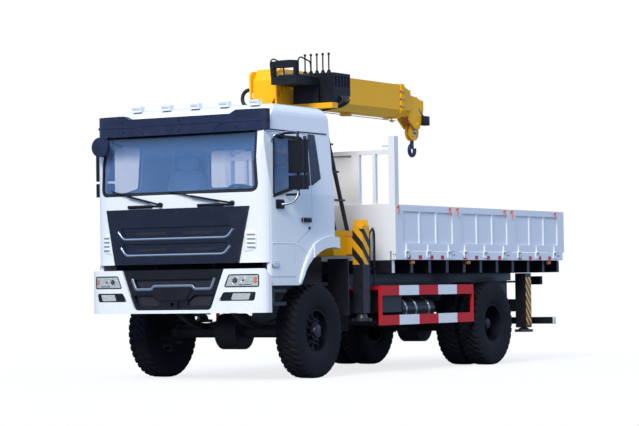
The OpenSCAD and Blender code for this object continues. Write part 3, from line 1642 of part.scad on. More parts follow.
module luff_cylinder() color("#2a2c30") {
  barrel_len = luff_reach - barrel_gap;
  luff_frame() difference() {
    union() {
      cylinder(d = barrel_d, h = barrel_len);
      translate([0, lug_gap - run, 0]) rotate([90, 0, 0]) cylinder(d = luff_eye_d, h = 2 * (lug_gap - run));
    }
    translate([0, 0, luff_eye_d / 2]) cylinder(d = rod_d + 2 * seat, h = barrel_len);
    translate([0, lug_gap, 0]) rotate([90, 0, 0]) cylinder(d = luff_pin_d + 2 * seat, h = 2 * lug_gap);
  }
}

module luff_rod() color("#c9cdd1") {
  rod_z = luff_eye_d / 2 + rod_foot;
  luff_frame() {
    translate([0, 0, rod_z]) cylinder(d = rod_d, h = luff_reach - rod_z);
    translate([0, lug_gap - run, luff_reach]) rotate([90, 0, 0]) cylinder(d = rod_eye_d,
      h = 2 * (lug_gap - run));
  }
}

module hook_block() color("#e6a81e") {
  difference() {
    union() {
      both_sides() pin_y(hook_x, hook_z - block_drop, block_d, cheek_in - cheek_t, cheek_in);
      pin_y(hook_x, hook_z - block_drop, block_d * sheave_share, -cheek_in + cheek_t, cheek_in - cheek_t);
    }
    pin_y(hook_x, hook_z, hook_pin_d + 2 * seat, -cheek_in - over, cheek_in + over);
  }
  pin_z(hook_x, 0, hook_bar, hook_mid_z + hook_r - hook_bar, hook_z - block_drop - block_d / 4);
  translate([hook_x, 0, hook_mid_z]) rotate([90, 0, 0]) rotate([0, 0, -hook_start])
    rotate_extrude(angle = hook_turn) translate([hook_r, 0]) circle(d = hook_bar, $fn = 24);
}

// Thick hose that loops from the column's foot to the boom's root on the right
module hydraulic_hose() color("#17181a") {
  r = hose_bend;
  translate([hose_x, hose_y, hose_z]) rotate([90, 0, 90]) {
    rotate([0, 0, 90]) rotate_extrude(angle = 180) translate([r, 0]) circle(d = hose_d, $fn = 24);
    for (side = [-1, 1])
      translate([0, side * r, 0]) rotate([0, 90, 0]) cylinder(d = hose_d, h = hose_stub, $fn = 24);
  }
}

chassis_frame();
driveline();
front_axle();
rear_axle();
front_bumper();
bumper_grille();
lamps();
tanks_and_boxes();
side_guards();
bed_floor();
bed_headboard();
crane_base();
ladder();
cab_shell();
cab_roof();
cab_front();
cab_glass();
sun_visor();
grille();
seats();
dashboard();
door_left();
door_right();
door_glass_left();
door_glass_right();
mirror_left();
mirror_right();
knuckle_left();
knuckle_right();
tyre_front_left();
tyre_front_right();
rim_front_left();
rim_front_right();
tyres_rear_left();
tyres_rear_right();
rims_rear_left();
rims_rear_right();
side_left_1();
side_left_2();
side_left_3();
side_right_1();
side_right_2();
side_right_3();
tailgate();
crane_column();
control_seat();
luff_cylinder();
luff_rod();
boom_1();
boom_2();
boom_3();
boom_4();
hook_block();
hydraulic_hose();
outrigger_left();
outrigger_right();
jack_front_left();
jack_front_right();
jack_rear_left();
jack_rear_right();
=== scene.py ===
"""Looks of a truck-mounted telescopic crane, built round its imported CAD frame."""

import json
import logging
import math
from collections.abc import Callable, Iterable, Sequence
from dataclasses import dataclass
from enum import Enum

import bmesh
import bpy
import numpy as np
from mathutils import Matrix, Vector

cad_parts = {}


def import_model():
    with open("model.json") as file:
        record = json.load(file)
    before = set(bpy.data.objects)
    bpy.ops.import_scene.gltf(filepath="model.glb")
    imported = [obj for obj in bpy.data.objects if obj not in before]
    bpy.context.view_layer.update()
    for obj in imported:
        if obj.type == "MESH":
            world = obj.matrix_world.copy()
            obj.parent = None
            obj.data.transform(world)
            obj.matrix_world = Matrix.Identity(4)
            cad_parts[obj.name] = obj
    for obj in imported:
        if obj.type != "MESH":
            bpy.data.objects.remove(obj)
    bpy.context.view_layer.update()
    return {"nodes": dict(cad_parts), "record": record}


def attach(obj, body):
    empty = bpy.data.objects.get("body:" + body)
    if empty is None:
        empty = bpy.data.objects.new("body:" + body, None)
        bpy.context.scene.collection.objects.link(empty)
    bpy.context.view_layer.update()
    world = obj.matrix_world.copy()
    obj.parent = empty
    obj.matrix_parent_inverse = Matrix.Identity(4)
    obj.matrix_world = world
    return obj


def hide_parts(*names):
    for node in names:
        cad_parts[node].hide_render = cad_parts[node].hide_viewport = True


LOG = logging.getLogger("crane_truck")

Array = np.ndarray
Patch = tuple[Array, Array]
Place = Callable[[Array, Array, Array], Array]
Point = Sequence[float]
Points = Sequence[Point]
Pair = tuple[float, float]
Triple = tuple[float, float, float]
Quad = tuple[float, float, float, float]
Colour = tuple[float, float, float, float]
Pairs = tuple[Pair, ...]
Path = tuple[Triple, ...]
Block = tuple[Triple, Triple, float]
Tree = bpy.types.NodeTree
Socket = bpy.types.NodeSocket

AHEAD, LEFT, UP = (1.0, 0.0, 0.0), (0.0, 1.0, 0.0), (0.0, 0.0, 1.0)
SIDES = ((1, "left"), (-1, "right"))
DOOR = "{}_door"


# Mesh patches: arrays of vertices and of quads

def weave(points: Array, wrap_u: bool = False, wrap_v: bool = False) -> Patch:
    """Quads over a grid of points: corner (i, j) joins (i+1, j), (i+1, j+1), (i, j+1).

    Args:
        points: Grid of shape (u, v, 3).
        wrap_u: Whether the last row joins the first.
        wrap_v: Whether the last column joins the first.

    Returns:
        The patch.
    """
    rows = np.arange(points.shape[0] * points.shape[1]).reshape(points.shape[:2])
    rows = np.vstack([rows, rows[:1]]) if wrap_u else rows
    rows = np.hstack([rows, rows[:, :1]]) if wrap_v else rows
    quads = np.stack([rows[:-1, :-1], rows[1:, :-1], rows[1:, 1:], rows[:-1, 1:]], axis=-1)
    return points.reshape(-1, 3), quads.reshape(-1, 4)


def joined(*patches: Patch) -> Patch:
    """One patch of several, each set of quads moved up by the points before it.

    Args:
        patches: The patches in order.

    Returns:
        The patch.
    """
    starts = np.cumsum([0] + [len(p[0]) for p in patches[:-1]])
    quads = [p[1] + start for p, start in zip(patches, starts)]
    return np.vstack([p[0] for p in patches]), np.vstack(quads)


def copies(points: Array, quads: Array) -> Patch:
    """One patch of n sets of points, shape (n, m, 3), each with the same quads."""
    steps = np.arange(len(points))[:, None, None] * points.shape[1]
    return points.reshape(-1, 3), (quads[None] + steps).reshape(-1, 4)


def repeated(patch: Patch, steps: Sequence[float], axis: int = 0) -> Patch:
    """The patch moved along an axis by each of the steps."""
    places = np.asarray(steps, float)[:, None, None] * np.eye(3)[axis]
    return copies(patch[0] + places, patch[1])


def ringed(patch: Patch, count: int, centre: Point, phase: float = 0.0) -> Patch:
    """The patch turned count times about the Y axis through centre.

    Args:
        patch: The patch at angle 0.
        count: How many copies, evenly spaced.
        centre: A point on the axis.
        phase: Angle of the first copy, in radians.

    Returns:
        The ring of copies.
    """
    angle = (phase + np.arange(count) * 2 * math.pi / count)[:, None]
    x, y, z = (patch[0] - np.asarray(centre)).T
    turn = np.stack([
        np.cos(angle) * x + np.sin(angle) * z,
        np.broadcast_to(y, (count, len(y))),
        np.cos(angle) * z - np.sin(angle) * x,
    ], axis=-1)
    return copies(turn + np.asarray(centre), patch[1])


def other_side(patch: Patch) -> Patch:
    """The patch mirrored across the truck's middle plane, its quads turned round."""
    return patch[0] * np.array([1.0, -1.0, 1.0]), patch[1][:, ::-1]


def unit(v: Array) -> Array:
    """Vectors along the last axis, each divided by its length."""
    return v / np.maximum(np.linalg.norm(v, axis=-1, keepdims=True), 1e-12)


def round_outline(a: float, b: float, radius: float, steps: int = 24) -> Array:
    """A circle about (a, b), as a closed outline."""
    turn = np.arange(steps) * 2 * math.pi / steps
    return radius * np.stack([np.cos(turn), np.sin(turn)], axis=-1) + np.array([a, b])


def corner_signs(steps: int) -> tuple[Array, Array, Array]:
    """Angles round four rounded corners, and the signs of each corner's two offsets.

    Args:
        steps: Points in each corner, less one.

    Returns:
        Angles, first signs and second signs.
    """
    quarter = np.linspace(0, math.pi / 2, steps + 1)
    angle = np.concatenate([quarter + k * math.pi / 2 for k in range(4)])
    return angle, np.repeat([1, -1, -1, 1], steps + 1), np.repeat([1, 1, -1, -1], steps + 1)


def bar_outline(wide: float, high: float, edge: float, steps: int = 3) -> Array:
    """Rounded rectangle: a quarter circle of radius edge at each of four corners.

    Args:
        wide: Full width.
        high: Full height.
        edge: Corner radius.
        steps: Points in each corner, less one.

    Returns:
        (side, rise) pairs.
    """
    angle, side, rise = corner_signs(steps)
    return np.stack([
        side * (wide / 2 - edge) + edge * np.cos(angle),
        rise * (high / 2 - edge) + edge * np.sin(angle),
    ], axis=-1)


def rounded(corner: Array, before: Array, after: Array, reach: float, steps: int) -> Array:
    """Curves over corners: (1-t)^2 P + 2t(1-t) C + t^2 Q of the corner C.

    P and Q lie at a distance from the corner towards the corners before and after it.

    Args:
        corner: The corners, shape (n, k).
        before: The corner before each.
        after: The corner after each.
        reach: Distance of P and Q from the corner.
        steps: Points on each curve, less one.

    Returns:
        The curves, shape (n, steps + 1, k).
    """
    p = corner + reach * unit(before - corner)
    q = corner + reach * unit(after - corner)
    t = np.linspace(0, 1, steps + 1)[None, :, None]
    return (1 - t) ** 2 * p[:, None] + 2 * t * (1 - t) * corner[:, None] + t ** 2 * q[:, None]


def soft_corners(corners: Points, radius: float, steps: int = 6, fill: int = 0) -> Array:
    """Closed outline with each corner rounded, as in rounded.

    Args:
        corners: (a, b) pairs in order.
        radius: Distance from a corner at which the curve begins.
        steps: Points on each curve, less one.
        fill: Extra points on each straight side.

    Returns:
        Outline points, shape (n, 2).
    """
    c = np.asarray(corners, float)
    curve = rounded(c, np.roll(c, 1, axis=0), np.roll(c, -1, axis=0), radius, steps)
    if fill:
        share = (np.arange(1, fill + 1) / (fill + 1))[None, :, None]
        end, start = curve[:, -1], np.roll(curve[:, 0], -1, axis=0)
        curve = np.concatenate([curve, end[:, None] + share * (start - end)[:, None]], axis=1)
    return curve.reshape(-1, 2)


def box_outline(a0: float, b0: float, a1: float, b1: float, radius: float, fill: int) -> Array:
    """A rounded rectangle between two corners, as a closed outline."""
    return soft_corners([(a0, b0), (a1, b0), (a1, b1), (a0, b1)], radius, 5, fill)


def smooth_path(corners: Points, bend: float) -> Array:
    """Open path in space with each inner corner rounded, as in rounded.

    Args:
        corners: Points of the path.
        bend: How far from a corner its curve begins.

    Returns:
        Points, shape (n, 3).
    """
    c = np.asarray(corners, float)
    if len(c) == 2:
        return c
    curve = rounded(c[1:-1], c[:-2], c[2:], bend, 6)
    return np.vstack([c[:1], curve.reshape(-1, 3), c[-1:]])


def open_line(corners: Points, bend: float, fill: int = 8) -> Array:
    """An open line of (a, b) pairs with bent corners and points added along its sides.

    Args:
        corners: (a, b) pairs in order.
        bend: How far from a corner its curve begins.
        fill: Parts that each side is cut into.

    Returns:
        Pairs, shape (n, 2).
    """
    line = smooth_path([(a, b, 0.0) for a, b in corners], bend)[:, :2]
    t = np.linspace(0, len(line) - 1, (len(line) - 1) * fill + 1)
    return np.stack([np.interp(t, np.arange(len(line)), line[:, k]) for k in (0, 1)], axis=-1)


def carried(path: Array, outline: Array, up: Array | Point, closed: bool = False) -> Patch:
    """An outline carried along a path, square to it, with its rise towards up.

    At each point of the path the side vector is tangent x up and the rise is side x
    tangent. An open path is closed at each end by a ring drawn to the path itself.

    Args:
        path: Points, shape (n, 3).
        outline: (side, rise) pairs, shape (m, 2).
        up: One direction, or one for each point of the path.
        closed: Whether the path ends where it begins.

    Returns:
        The swept patch.
    """
    loop = np.roll(path, -1, axis=0) - np.roll(path, 1, axis=0)
    tangent = unit(loop if closed else np.gradient(path, axis=0))
    side = unit(np.cross(tangent, np.broadcast_to(np.asarray(up, float), path.shape)))[:, None]
    rise = np.cross(side, tangent[:, None])
    rings = path[:, None] + outline[None, :, :1] * side + outline[None, :, 1:] * rise
    if not closed:
        first = np.broadcast_to(path[:1, None], rings[:1].shape)
        last = np.broadcast_to(path[-1:, None], rings[:1].shape)
        rings = np.concatenate([first, rings, last])
    return weave(rings, wrap_u=closed, wrap_v=True)


def tube(corners: Points, radius: float, bend: float = 0.0, sides: int = 10) -> Patch:
    """Round bar along a path whose corners are bent, its rise kept off the path's direction.

    Args:
        corners: Points of the path.
        radius: The bar's radius.
        bend: How far from a corner the bend begins.
        sides: Facets round the bar.

    Returns:
        The bar.
    """
    path = smooth_path(corners, bend) if bend else np.asarray(corners, float)
    lean = np.abs(unit(np.gradient(path, axis=0))).mean(axis=0)
    return carried(path, round_outline(0, 0, radius, sides), np.eye(3)[int(np.argmin(lean))])


def turned(profile: Points, centre: Point, axis: Point, steps: int = 40) -> Patch:
    """A profile of (radius, along) pairs turned about an axis through centre.

    Args:
        profile: The pairs in order.
        centre: Where along is 0.
        axis: The way in which along grows.
        steps: Facets round the axis.

    Returns:
        The turned form.
    """
    w = unit(np.asarray(axis, float))
    u = unit(np.cross(w, np.eye(3)[int(np.argmin(np.abs(w)))]))
    a = (np.arange(steps) * 2 * math.pi / steps)[:, None, None]
    r, h = np.asarray(profile, float).T
    ring = np.cos(a) * u + np.sin(a) * np.cross(w, u)
    points = np.asarray(centre, float) + ring * r[None, :, None] + h[None, :, None] * w
    return weave(points, wrap_u=True)


def soft_block(low: Point, high: Point, edge: float, steps: int = 3) -> Patch:
    """Box with rounded edges: a ball of radius edge, its eight parts moved to the corners.

    Args:
        low: Lowest corner.
        high: Highest corner.
        edge: Edge radius.
        steps: Points on each quarter of the ball, less one.

    Returns:
        The closed form.
    """
    lo, hi = np.asarray(low, float), np.asarray(high, float)
    across, sx, sy = corner_signs(steps)
    quarter = np.linspace(0, math.pi / 2, steps + 1)
    rise = np.concatenate([quarter - math.pi / 2, quarter])
    sz = np.repeat([-1, 1], steps + 1)
    ball = np.stack(np.broadcast_arrays(
        np.cos(rise)[None] * np.cos(across)[:, None],
        np.cos(rise)[None] * np.sin(across)[:, None],
        np.sin(rise)[None],
    ), axis=-1)
    sign = np.stack(np.broadcast_arrays(sx[:, None], sy[:, None], sz[None]), axis=-1)
    mid = (lo + hi) / 2
    points = mid + sign * ((hi - lo) / 2 - edge) + edge * ball
    ends = [np.broadcast_to([*mid[:2], z], points[:, :1].shape) for z in (lo[2], hi[2])]
    return weave(np.concatenate([ends[0], points, ends[1]], axis=1), wrap_u=True)


def pillow(low: Point, high: Point, power: float = 3.6, steps: int = 28) -> Patch:
    """A stuffed cushion: the superellipsoid |x|^p + |y|^p + |z|^p = 1 stretched to a box.

    Args:
        low: Lowest corner.
        high: Highest corner.
        power: p; the larger, the squarer.
        steps: Quads from pole to pole, and half of those round the middle.

    Returns:
        The closed cushion.
    """
    def swell(v: Array) -> Array:
        """A sine or cosine raised to 2/p, with its sign kept."""
        return np.sign(v) * np.abs(v) ** (2 / power)
    a = (np.arange(steps * 2) * math.pi / steps)[:, None]
    b = np.linspace(-math.pi / 2, math.pi / 2, steps + 1)[None]
    ball = np.stack(np.broadcast_arrays(
        swell(np.cos(a)) * swell(np.cos(b)),
        swell(np.sin(a)) * swell(np.cos(b)),
        swell(np.sin(b)),
    ), axis=-1)
    lo, hi = np.asarray(low, float), np.asarray(high, float)
    return weave((lo + hi) / 2 + ball * (hi - lo) / 2, wrap_u=True)


def plate(outline: Array, place: Place, thick: float, edge: float, rings: int = 5) -> Patch:
    """A plate laid on a surface: its outline shrunk in rings to its middle, front and back.

    The front stands thick off the surface and its rim is drawn in by edge over the same
    height, so the edge reads as a bevel; the back lies on the surface.

    Args:
        outline: Closed outline of (a, b) pairs, star-shaped about its middle.
        place: Gives points in space for a, b and the distance off the surface.
        thick: Height of the front over the surface.
        edge: Width and height of the bevel.
        rings: Rings between the middle and the rim.

    Returns:
        The closed plate.
    """
    mid = outline.mean(axis=0)
    reach = np.linalg.norm(outline - mid, axis=1).min()
    inner = 1 - min(edge / max(reach, 1e-9), 0.9)
    back = np.linspace(1, 0, rings)[1:]
    share = np.concatenate([np.linspace(0, inner, rings), [1.0, 1.0], back])
    out = np.concatenate([np.full(rings, thick), [thick - edge, 0.0], np.zeros(rings - 1)])
    ab = mid + share[:, None, None] * (outline - mid)
    far = np.broadcast_to(out[:, None], ab.shape[:2])
    return weave(place(ab[..., 0], ab[..., 1], far), wrap_v=True)


def pane(box: Quad, place: Place, thick: float, edge: float, radius: float, fill: int) -> Patch:
    """A plate over a rounded rectangle, given as in box_outline."""
    return plate(box_outline(*box, radius, fill), place, thick, edge)


def bead(outline: Array, place: Place, section: Triple, closed: bool = True) -> Patch:
    """A strip of rounded section that follows an outline on a surface, half sunk into it.

    Args:
        outline: (a, b) pairs on the surface.
        place: The surface.
        section: The strip's width, height and edge radius.
        closed: Whether the outline ends where it begins.

    Returns:
        The strip.
    """
    a, b = outline.T
    path = place(a, b, np.zeros_like(a))
    up = unit(place(a, b, np.full_like(a, 0.01)) - path)
    return carried(path, bar_outline(*section), up, closed)


def strip(corners: Points, bend: float, place: Place, section: Triple, fill: int = 8) -> Patch:
    """A bead along an open line with bent corners."""
    return bead(open_line(corners, bend, fill), place, section, False)


def bolt(centre: Point, axis: Point, across: float, high: float) -> Patch:
    """A hexagon bolt head on a round washer, standing along axis from centre.

    Args:
        centre: The washer's foot.
        axis: The way the head stands.
        across: The head's width.
        high: The head's height.

    Returns:
        The bolt.
    """
    wide, low, waist, rim = across * 0.72, high * 0.25, across * 0.56, high * 0.9
    washer = [(0, 0), (wide, 0), (wide, low), (0, low)]
    head = [(0, 0), (waist, 0), (waist, rim), (across * 0.45, high), (0, high)]
    return joined(turned(washer, centre, axis, 16), turned(head, centre, axis, 6))


def bolt_ring(
    centre: Point, radius: float, angles: Iterable[float], axis: int, size: Pair,
) -> Patch:
    """Bolts on a circle square to an axis, their angles measured from straight ahead.

    Args:
        centre: The circle's middle.
        radius: The circle's radius.
        angles: One for each bolt.
        axis: 1 for bolts that stand to the left, 2 for bolts that stand up.
        size: Width across a head, and its height.

    Returns:
        The bolts.
    """
    ahead, up, aside = np.eye(3)[[0, axis, 3 - axis]]
    spots = [math.cos(a) * ahead + math.sin(a) * aside for a in angles]
    return joined(*(bolt(np.asarray(centre) + radius * spot, up, *size) for spot in spots))


# Surfaces that trim is laid on

def lifted(
    base: Callable[[Array, Array], Array], a: Array, b: Array, out: Array | float, turn: float,
) -> Array:
    """Points of a surface moved off it along its normal, the cross product of its two slopes.

    Args:
        base: Gives points of the surface for a and b.
        a: First coordinate.
        b: Second coordinate.
        out: Distance off the surface.
        turn: 1 or -1, whichever points outwards.

    Returns:
        Points, with one more axis than a.
    """
    a, b, step = np.asarray(a, float), np.asarray(b, float), 1e-4
    slope_a = base(a + step, b) - base(a - step, b)
    slope_b = base(a, b + step) - base(a, b - step)
    far = np.broadcast_to(np.asarray(out, float), a.shape)[..., None]
    return base(a, b) + turn * far * unit(np.cross(slope_a, slope_b))


@dataclass(frozen=True)
class Nose:
    """A face that bows back to both sides: x is a superellipse of y, the same at any height."""

    half: float
    tip: float
    depth: float
    power: float

    def base(self, y: Array, z: Array) -> Array:
        """Points of the face: x is tip less depth times 1 - (1 - |y / half|^p)^(1/p)."""
        bow = np.maximum(1 - np.abs(y / self.half) ** self.power, 1e-9) ** (1 / self.power)
        return np.stack([self.tip - self.depth * (1 - bow), y, z], axis=-1)

    def at(self, y: Array, z: Array, out: Array | float = 0.0) -> Array:
        """The face at y and z, moved out along its normal."""
        return lifted(self.base, y, z, out, 1.0)


@dataclass(frozen=True)
class CabFront(Nose):
    """The cab's front: a bowed face, no further ahead than the raked line of the screen."""

    rake: tuple[Triple, Triple] = ((2.14, 2.90, 3.19), (3.87, 3.72, 3.39))

    def base(self, y: Array, z: Array) -> Array:
        """The lesser of the bowed face and the raked line, which is broken at three heights.

        Args:
            y: Distance to the left.
            z: Height.

        Returns:
            Points of the face.
        """
        points = super().base(y, z)
        points[..., 0] = np.minimum(points[..., 0], np.interp(z, *self.rake))
        return points


@dataclass(frozen=True)
class CabSide:
    """The cab's left side: upright to the belt, then leaning in evenly up to the roof."""

    half: float = 1.2
    belt: float = 2.14
    roof: float = 3.19
    roof_in: float = 0.085

    def base(self, x: Array, z: Array) -> Array:
        """Points of the side, in by a share of roof_in that grows from belt to roof."""
        lean = self.roof_in * np.maximum(z - self.belt, 0) / (self.roof - self.belt)
        return np.stack([x, self.half - lean, z], axis=-1)

    def at(self, x: Array, z: Array, out: Array | float = 0.0) -> Array:
        """The side at x and z, moved out along its normal."""
        return lifted(self.base, x, z, out, -1.0)


FRONT = CabFront(half=1.2, tip=3.87, depth=0.27, power=3.4).at
SIDE = CabSide().at
BUMPER = Nose(half=1.22, tip=3.95, depth=0.215, power=3.2).at
VISOR = Nose(half=1.188, tip=3.772, depth=0.105, power=4.0).at


def sunk(place: Place, by: float) -> Place:
    """The same surface moved by a distance.

    Args:
        place: The surface.
        by: The distance, outwards if it is above 0.

    Returns:
        The place function of the moved surface.
    """
    def moved(a: Array, b: Array, out: Array) -> Array:
        """Points of the surface for a and b, moved out by more."""
        return place(a, b, np.asarray(out) + by)
    return moved


def flat(axis: int, at: float, way: float) -> Place:
    """A plane square to an axis, met as (a, b) on the other two axes in order.

    Args:
        axis: 0, 1 or 2.
        at: Where the plane cuts the axis.
        way: 1 or -1, the side that faces out.

    Returns:
        The place function.
    """
    def place(a: Array, b: Array, out: Array) -> Array:
        """Points of the plane for a and b, moved out."""
        level = at + way * out
        return np.stack([*(a, b)[:axis], level, *(a, b)[axis:]], axis=-1)
    return place


# Finishes

WAVE_M = 0.31


def linear(code: str, share: float = 1.0) -> Colour:
    """An sRGB hex colour as linear red, green and blue times a share, and full alpha.

    Args:
        code: The colour as #rrggbb.
        share: How bright the result is, 1 being unchanged.

    Returns:
        The linear colour.
    """
    c = np.array([int(code[i:i + 2], 16) for i in (1, 3, 5)]) / 255
    lin = np.where(c <= 0.04045, c / 12.92, ((c + 0.055) / 1.055) ** 2.4)
    return (*(share * lin).tolist(), 1.0)


def add_node(
    tree: Tree, kind: str, inputs: dict | None = None, **settings: object,
) -> bpy.types.Node:
    """Adds a node, sets its settings, and sets or links its inputs.

    Args:
        tree: The material's node tree.
        kind: Blender's name for the node type, after ShaderNode.
        inputs: Values or output sockets by input name or number.
        settings: Attributes of the node.

    Returns:
        The node.
    """
    made = tree.nodes.new("ShaderNode" + kind)
    for key, value in settings.items():
        setattr(made, key, value)
    for key, value in (inputs or {}).items():
        if isinstance(value, bpy.types.NodeSocket):
            tree.links.new(value, made.inputs[key])
        else:
            made.inputs[key].default_value = value
    return made


def maths(tree: Tree, operation: str, *values: Socket | float) -> Socket:
    """The result of one operation on sockets or numbers."""
    return add_node(tree, "Math", dict(enumerate(values)), operation=operation).outputs[0]


def mixed(tree: Tree, share: Socket, low: Socket | Colour, high: Socket | Colour) -> Socket:
    """A colour that goes from low to high as share goes from 0 to 1."""
    return add_node(tree, "Mix", {0: share, 6: low, 7: high}, data_type="RGBA").outputs[2]


def ranged(tree: Tree, value: Socket, to: Pair = (0.0, 1.0), of: Pair = (0.0, 1.0)) -> Socket:
    """A value carried over from one range to another and kept inside it."""
    names = ("From Min", "From Max", "To Min", "To Max")
    return add_node(tree, "MapRange", {"Value": value, **dict(zip(names, of + to))}).outputs[0]


def noise(
    tree: Tree, coords: Socket, size_m: float, detail: float = 2.0, rough: float = 0.5,
) -> Socket:
    """Noise whose widest clouds are about size_m across."""
    inputs = {"Vector": coords, "Scale": 1 / size_m, "Detail": detail, "Roughness": rough}
    return add_node(tree, "TexNoise", inputs).outputs["Fac"]


def wave(tree: Tree, coords: Socket, pitch_m: float, way: str) -> Socket:
    """Bands at a pitch; WAVE_M is a wave texture's own pitch at scale 1."""
    inputs = {"Vector": coords, "Scale": WAVE_M / pitch_m}
    return add_node(tree, "TexWave", inputs, bands_direction=way).outputs["Fac"]


def bumped(tree: Tree, height: Socket, strength: float, distance: float = 0.001) -> Socket:
    """A normal that a height bends."""
    inputs = {"Height": height, "Strength": strength, "Distance": distance}
    return add_node(tree, "Bump", inputs).outputs[0]


def surface(tree: Tree, tone: Socket, inputs: dict) -> Socket:
    """A principled shader of a tone with other inputs."""
    return add_node(tree, "BsdfPrincipled", {"Base Color": tone, **inputs}).outputs[0]


def split(tree: Tree, coords: Socket) -> Sequence[Socket]:
    """The three parts of a vector."""
    return list(add_node(tree, "SeparateXYZ", {0: coords}).outputs)


@dataclass(frozen=True)
class Finish:
    """A named finish that builds its material once."""

    name: str

    def shade(self, tree: Tree, coords: Socket) -> Socket:
        """Adds the finish's nodes and returns its shader socket."""
        raise NotImplementedError

    def material(self) -> bpy.types.Material:
        """The material of this finish, made on first use with coordinates in metres."""
        made = bpy.data.materials.get(self.name)
        if made is None:
            made = bpy.data.materials.new(self.name)
            made.use_nodes = True
            tree = made.node_tree
            tree.nodes.clear()
            shader = self.shade(tree, add_node(tree, "TexCoord").outputs["Object"])
            add_node(tree, "OutputMaterial", {"Surface": shader})
        return made


class Pattern(Enum):
    """Where a paint carries its second colour."""

    NONE = "plain"
    GUARD = "bands along the guard"
    LEG = "slanted bands on a rear leg"
    ARM = "slanted bands and a coloured head on a front leg"
    HOOK = "second colour below a height"
    POSTS = "second colour below a height, but not on the front posts"


@dataclass(frozen=True)
class Paint(Finish):
    """Sprayed two-pack paint: even colour, a thin clear gloss and a little dust low down."""

    colour: str = "#e9ebea"
    second: str = "#e9ebea"
    pattern: Pattern = Pattern.NONE
    dust: str = "#8c8479"
    dust_amount: float = 0.35
    dust_top: float = 1.6
    dust_full: float = 0.3
    speck_m: float = 0.09
    rough: float = 0.32
    coat: float = 0.35
    specular: float = 0.5
    cloud_m: float = 0.7
    peel_m: float = 0.006
    band_m: float = 0.508
    band_x: float = 1.263
    band_slope: float = 1.1
    band_low: float = 0.5
    face_y: float = 1.1585
    head_z: float = 1.765
    split_z: float = 3.035
    post_x: float = 0.80
    post_y: float = 1.19

    def below(self, tree: Tree, parts: Sequence[Socket]) -> Socket:
        """The second colour below a height, with the front posts left out for POSTS.

        Args:
            tree: The material's node tree.
            parts: Object coordinates.

        Returns:
            A socket of 0 or 1.
        """
        x, y, z = parts
        low = maths(tree, "LESS_THAN", z, self.split_z)
        if self.pattern is Pattern.HOOK:
            return low
        rear = maths(tree, "LESS_THAN", x, self.post_x)
        inner = maths(tree, "LESS_THAN", maths(tree, "ABSOLUTE", y), self.post_y)
        return maths(tree, "MULTIPLY", low, maths(tree, "MAXIMUM", rear, inner))

    def bands(self, tree: Tree, parts: Sequence[Socket]) -> Socket:
        """The second colour in bands: over half of each turn of a saw of place.

        The saw runs along the truck on the guard, and on a leg up it and round it.

        Args:
            tree: The material's node tree.
            parts: Object coordinates.

        Returns:
            A socket of 0 or 1.
        """
        x, y, z = parts
        if self.pattern is Pattern.GUARD:
            step = maths(tree, "ADD", x, self.band_x)
        else:
            out = maths(tree, "ABSOLUTE", y)
            fall = maths(tree, "MULTIPLY", maths(tree, "SUBTRACT", out, x), self.band_slope)
            step = maths(tree, "ADD", z, fall)
        saw = maths(tree, "FRACT", maths(tree, "DIVIDE", step, 2 * self.band_m))
        band = maths(tree, "GREATER_THAN", saw, 0.5)
        if self.pattern is Pattern.GUARD:
            return band
        face = maths(tree, "GREATER_THAN", out, self.face_y)
        above = maths(tree, "GREATER_THAN", z, self.band_low)
        band = maths(tree, "MULTIPLY", maths(tree, "MULTIPLY", band, face), above)
        if self.pattern is Pattern.LEG:
            return band
        cap = maths(tree, "GREATER_THAN", z, self.head_z)
        inner = maths(tree, "LESS_THAN", out, self.face_y)
        return maths(tree, "MAXIMUM", band, maths(tree, "MAXIMUM", cap, inner))

    def shade(self, tree: Tree, coords: Socket) -> Socket:
        """Colour with faint clouding, dust that thickens downwards, and a fine peel.

        Args:
            tree: The material's node tree.
            coords: Object coordinates.

        Returns:
            The shader's socket.
        """
        parts = split(tree, coords)
        cloud = noise(tree, coords, self.cloud_m, 3.0)
        tone = mixed(tree, cloud, linear(self.colour, 0.965), linear(self.colour))
        if self.pattern is not Pattern.NONE:
            flat_split = self.pattern in (Pattern.HOOK, Pattern.POSTS)
            second = (self.below if flat_split else self.bands)(tree, parts)
            tone = mixed(tree, second, tone, linear(self.second))
        low = ranged(tree, parts[2], (0.0, self.dust_amount), (self.dust_top, self.dust_full))
        speck = noise(tree, coords, self.speck_m, 8.0, 0.7)
        veil = maths(tree, "MULTIPLY", low, ranged(tree, speck, of=(0.42, 0.7)))
        return surface(tree, mixed(tree, veil, tone, linear(self.dust)), {
            "Roughness": ranged(tree, speck, (self.rough - 0.03, self.rough + 0.06)),
            "Normal": bumped(tree, noise(tree, coords, self.peel_m), 0.008),
            "Coat Weight": self.coat, "Coat Roughness": 0.12,
            "Specular IOR Level": self.specular,
        })


@dataclass(frozen=True)
class Moulded(Finish):
    """Moulded plastic or rubber: one colour through, a leathery grain and a soft sheen."""

    colour: str = "#1b1c20"
    light: str = "#2a2c31"
    grain_m: float = 0.004
    depth: float = 0.12
    rough: float = 0.5
    specular: float = 0.5
    cloud_m: float = 0.12

    def shade(self, tree: Tree, coords: Socket) -> Socket:
        """Grain cells give the bump, and wide clouds the rubbed tone.

        Args:
            tree: The material's node tree.
            coords: Object coordinates.

        Returns:
            The shader's socket.
        """
        grain = {"Vector": coords, "Scale": 1 / self.grain_m}
        cell = add_node(tree, "TexVoronoi", grain).outputs["Distance"]
        cloud = noise(tree, coords, self.cloud_m, 6.0, 0.65)
        rubbed = ranged(tree, cloud, (0.0, 0.6), (0.45, 0.75))
        return surface(tree, mixed(tree, rubbed, linear(self.colour), linear(self.light)), {
            "Roughness": ranged(tree, cloud, (self.rough - 0.08, self.rough + 0.1)),
            "Normal": bumped(tree, cell, self.depth), "Specular IOR Level": self.specular,
        })


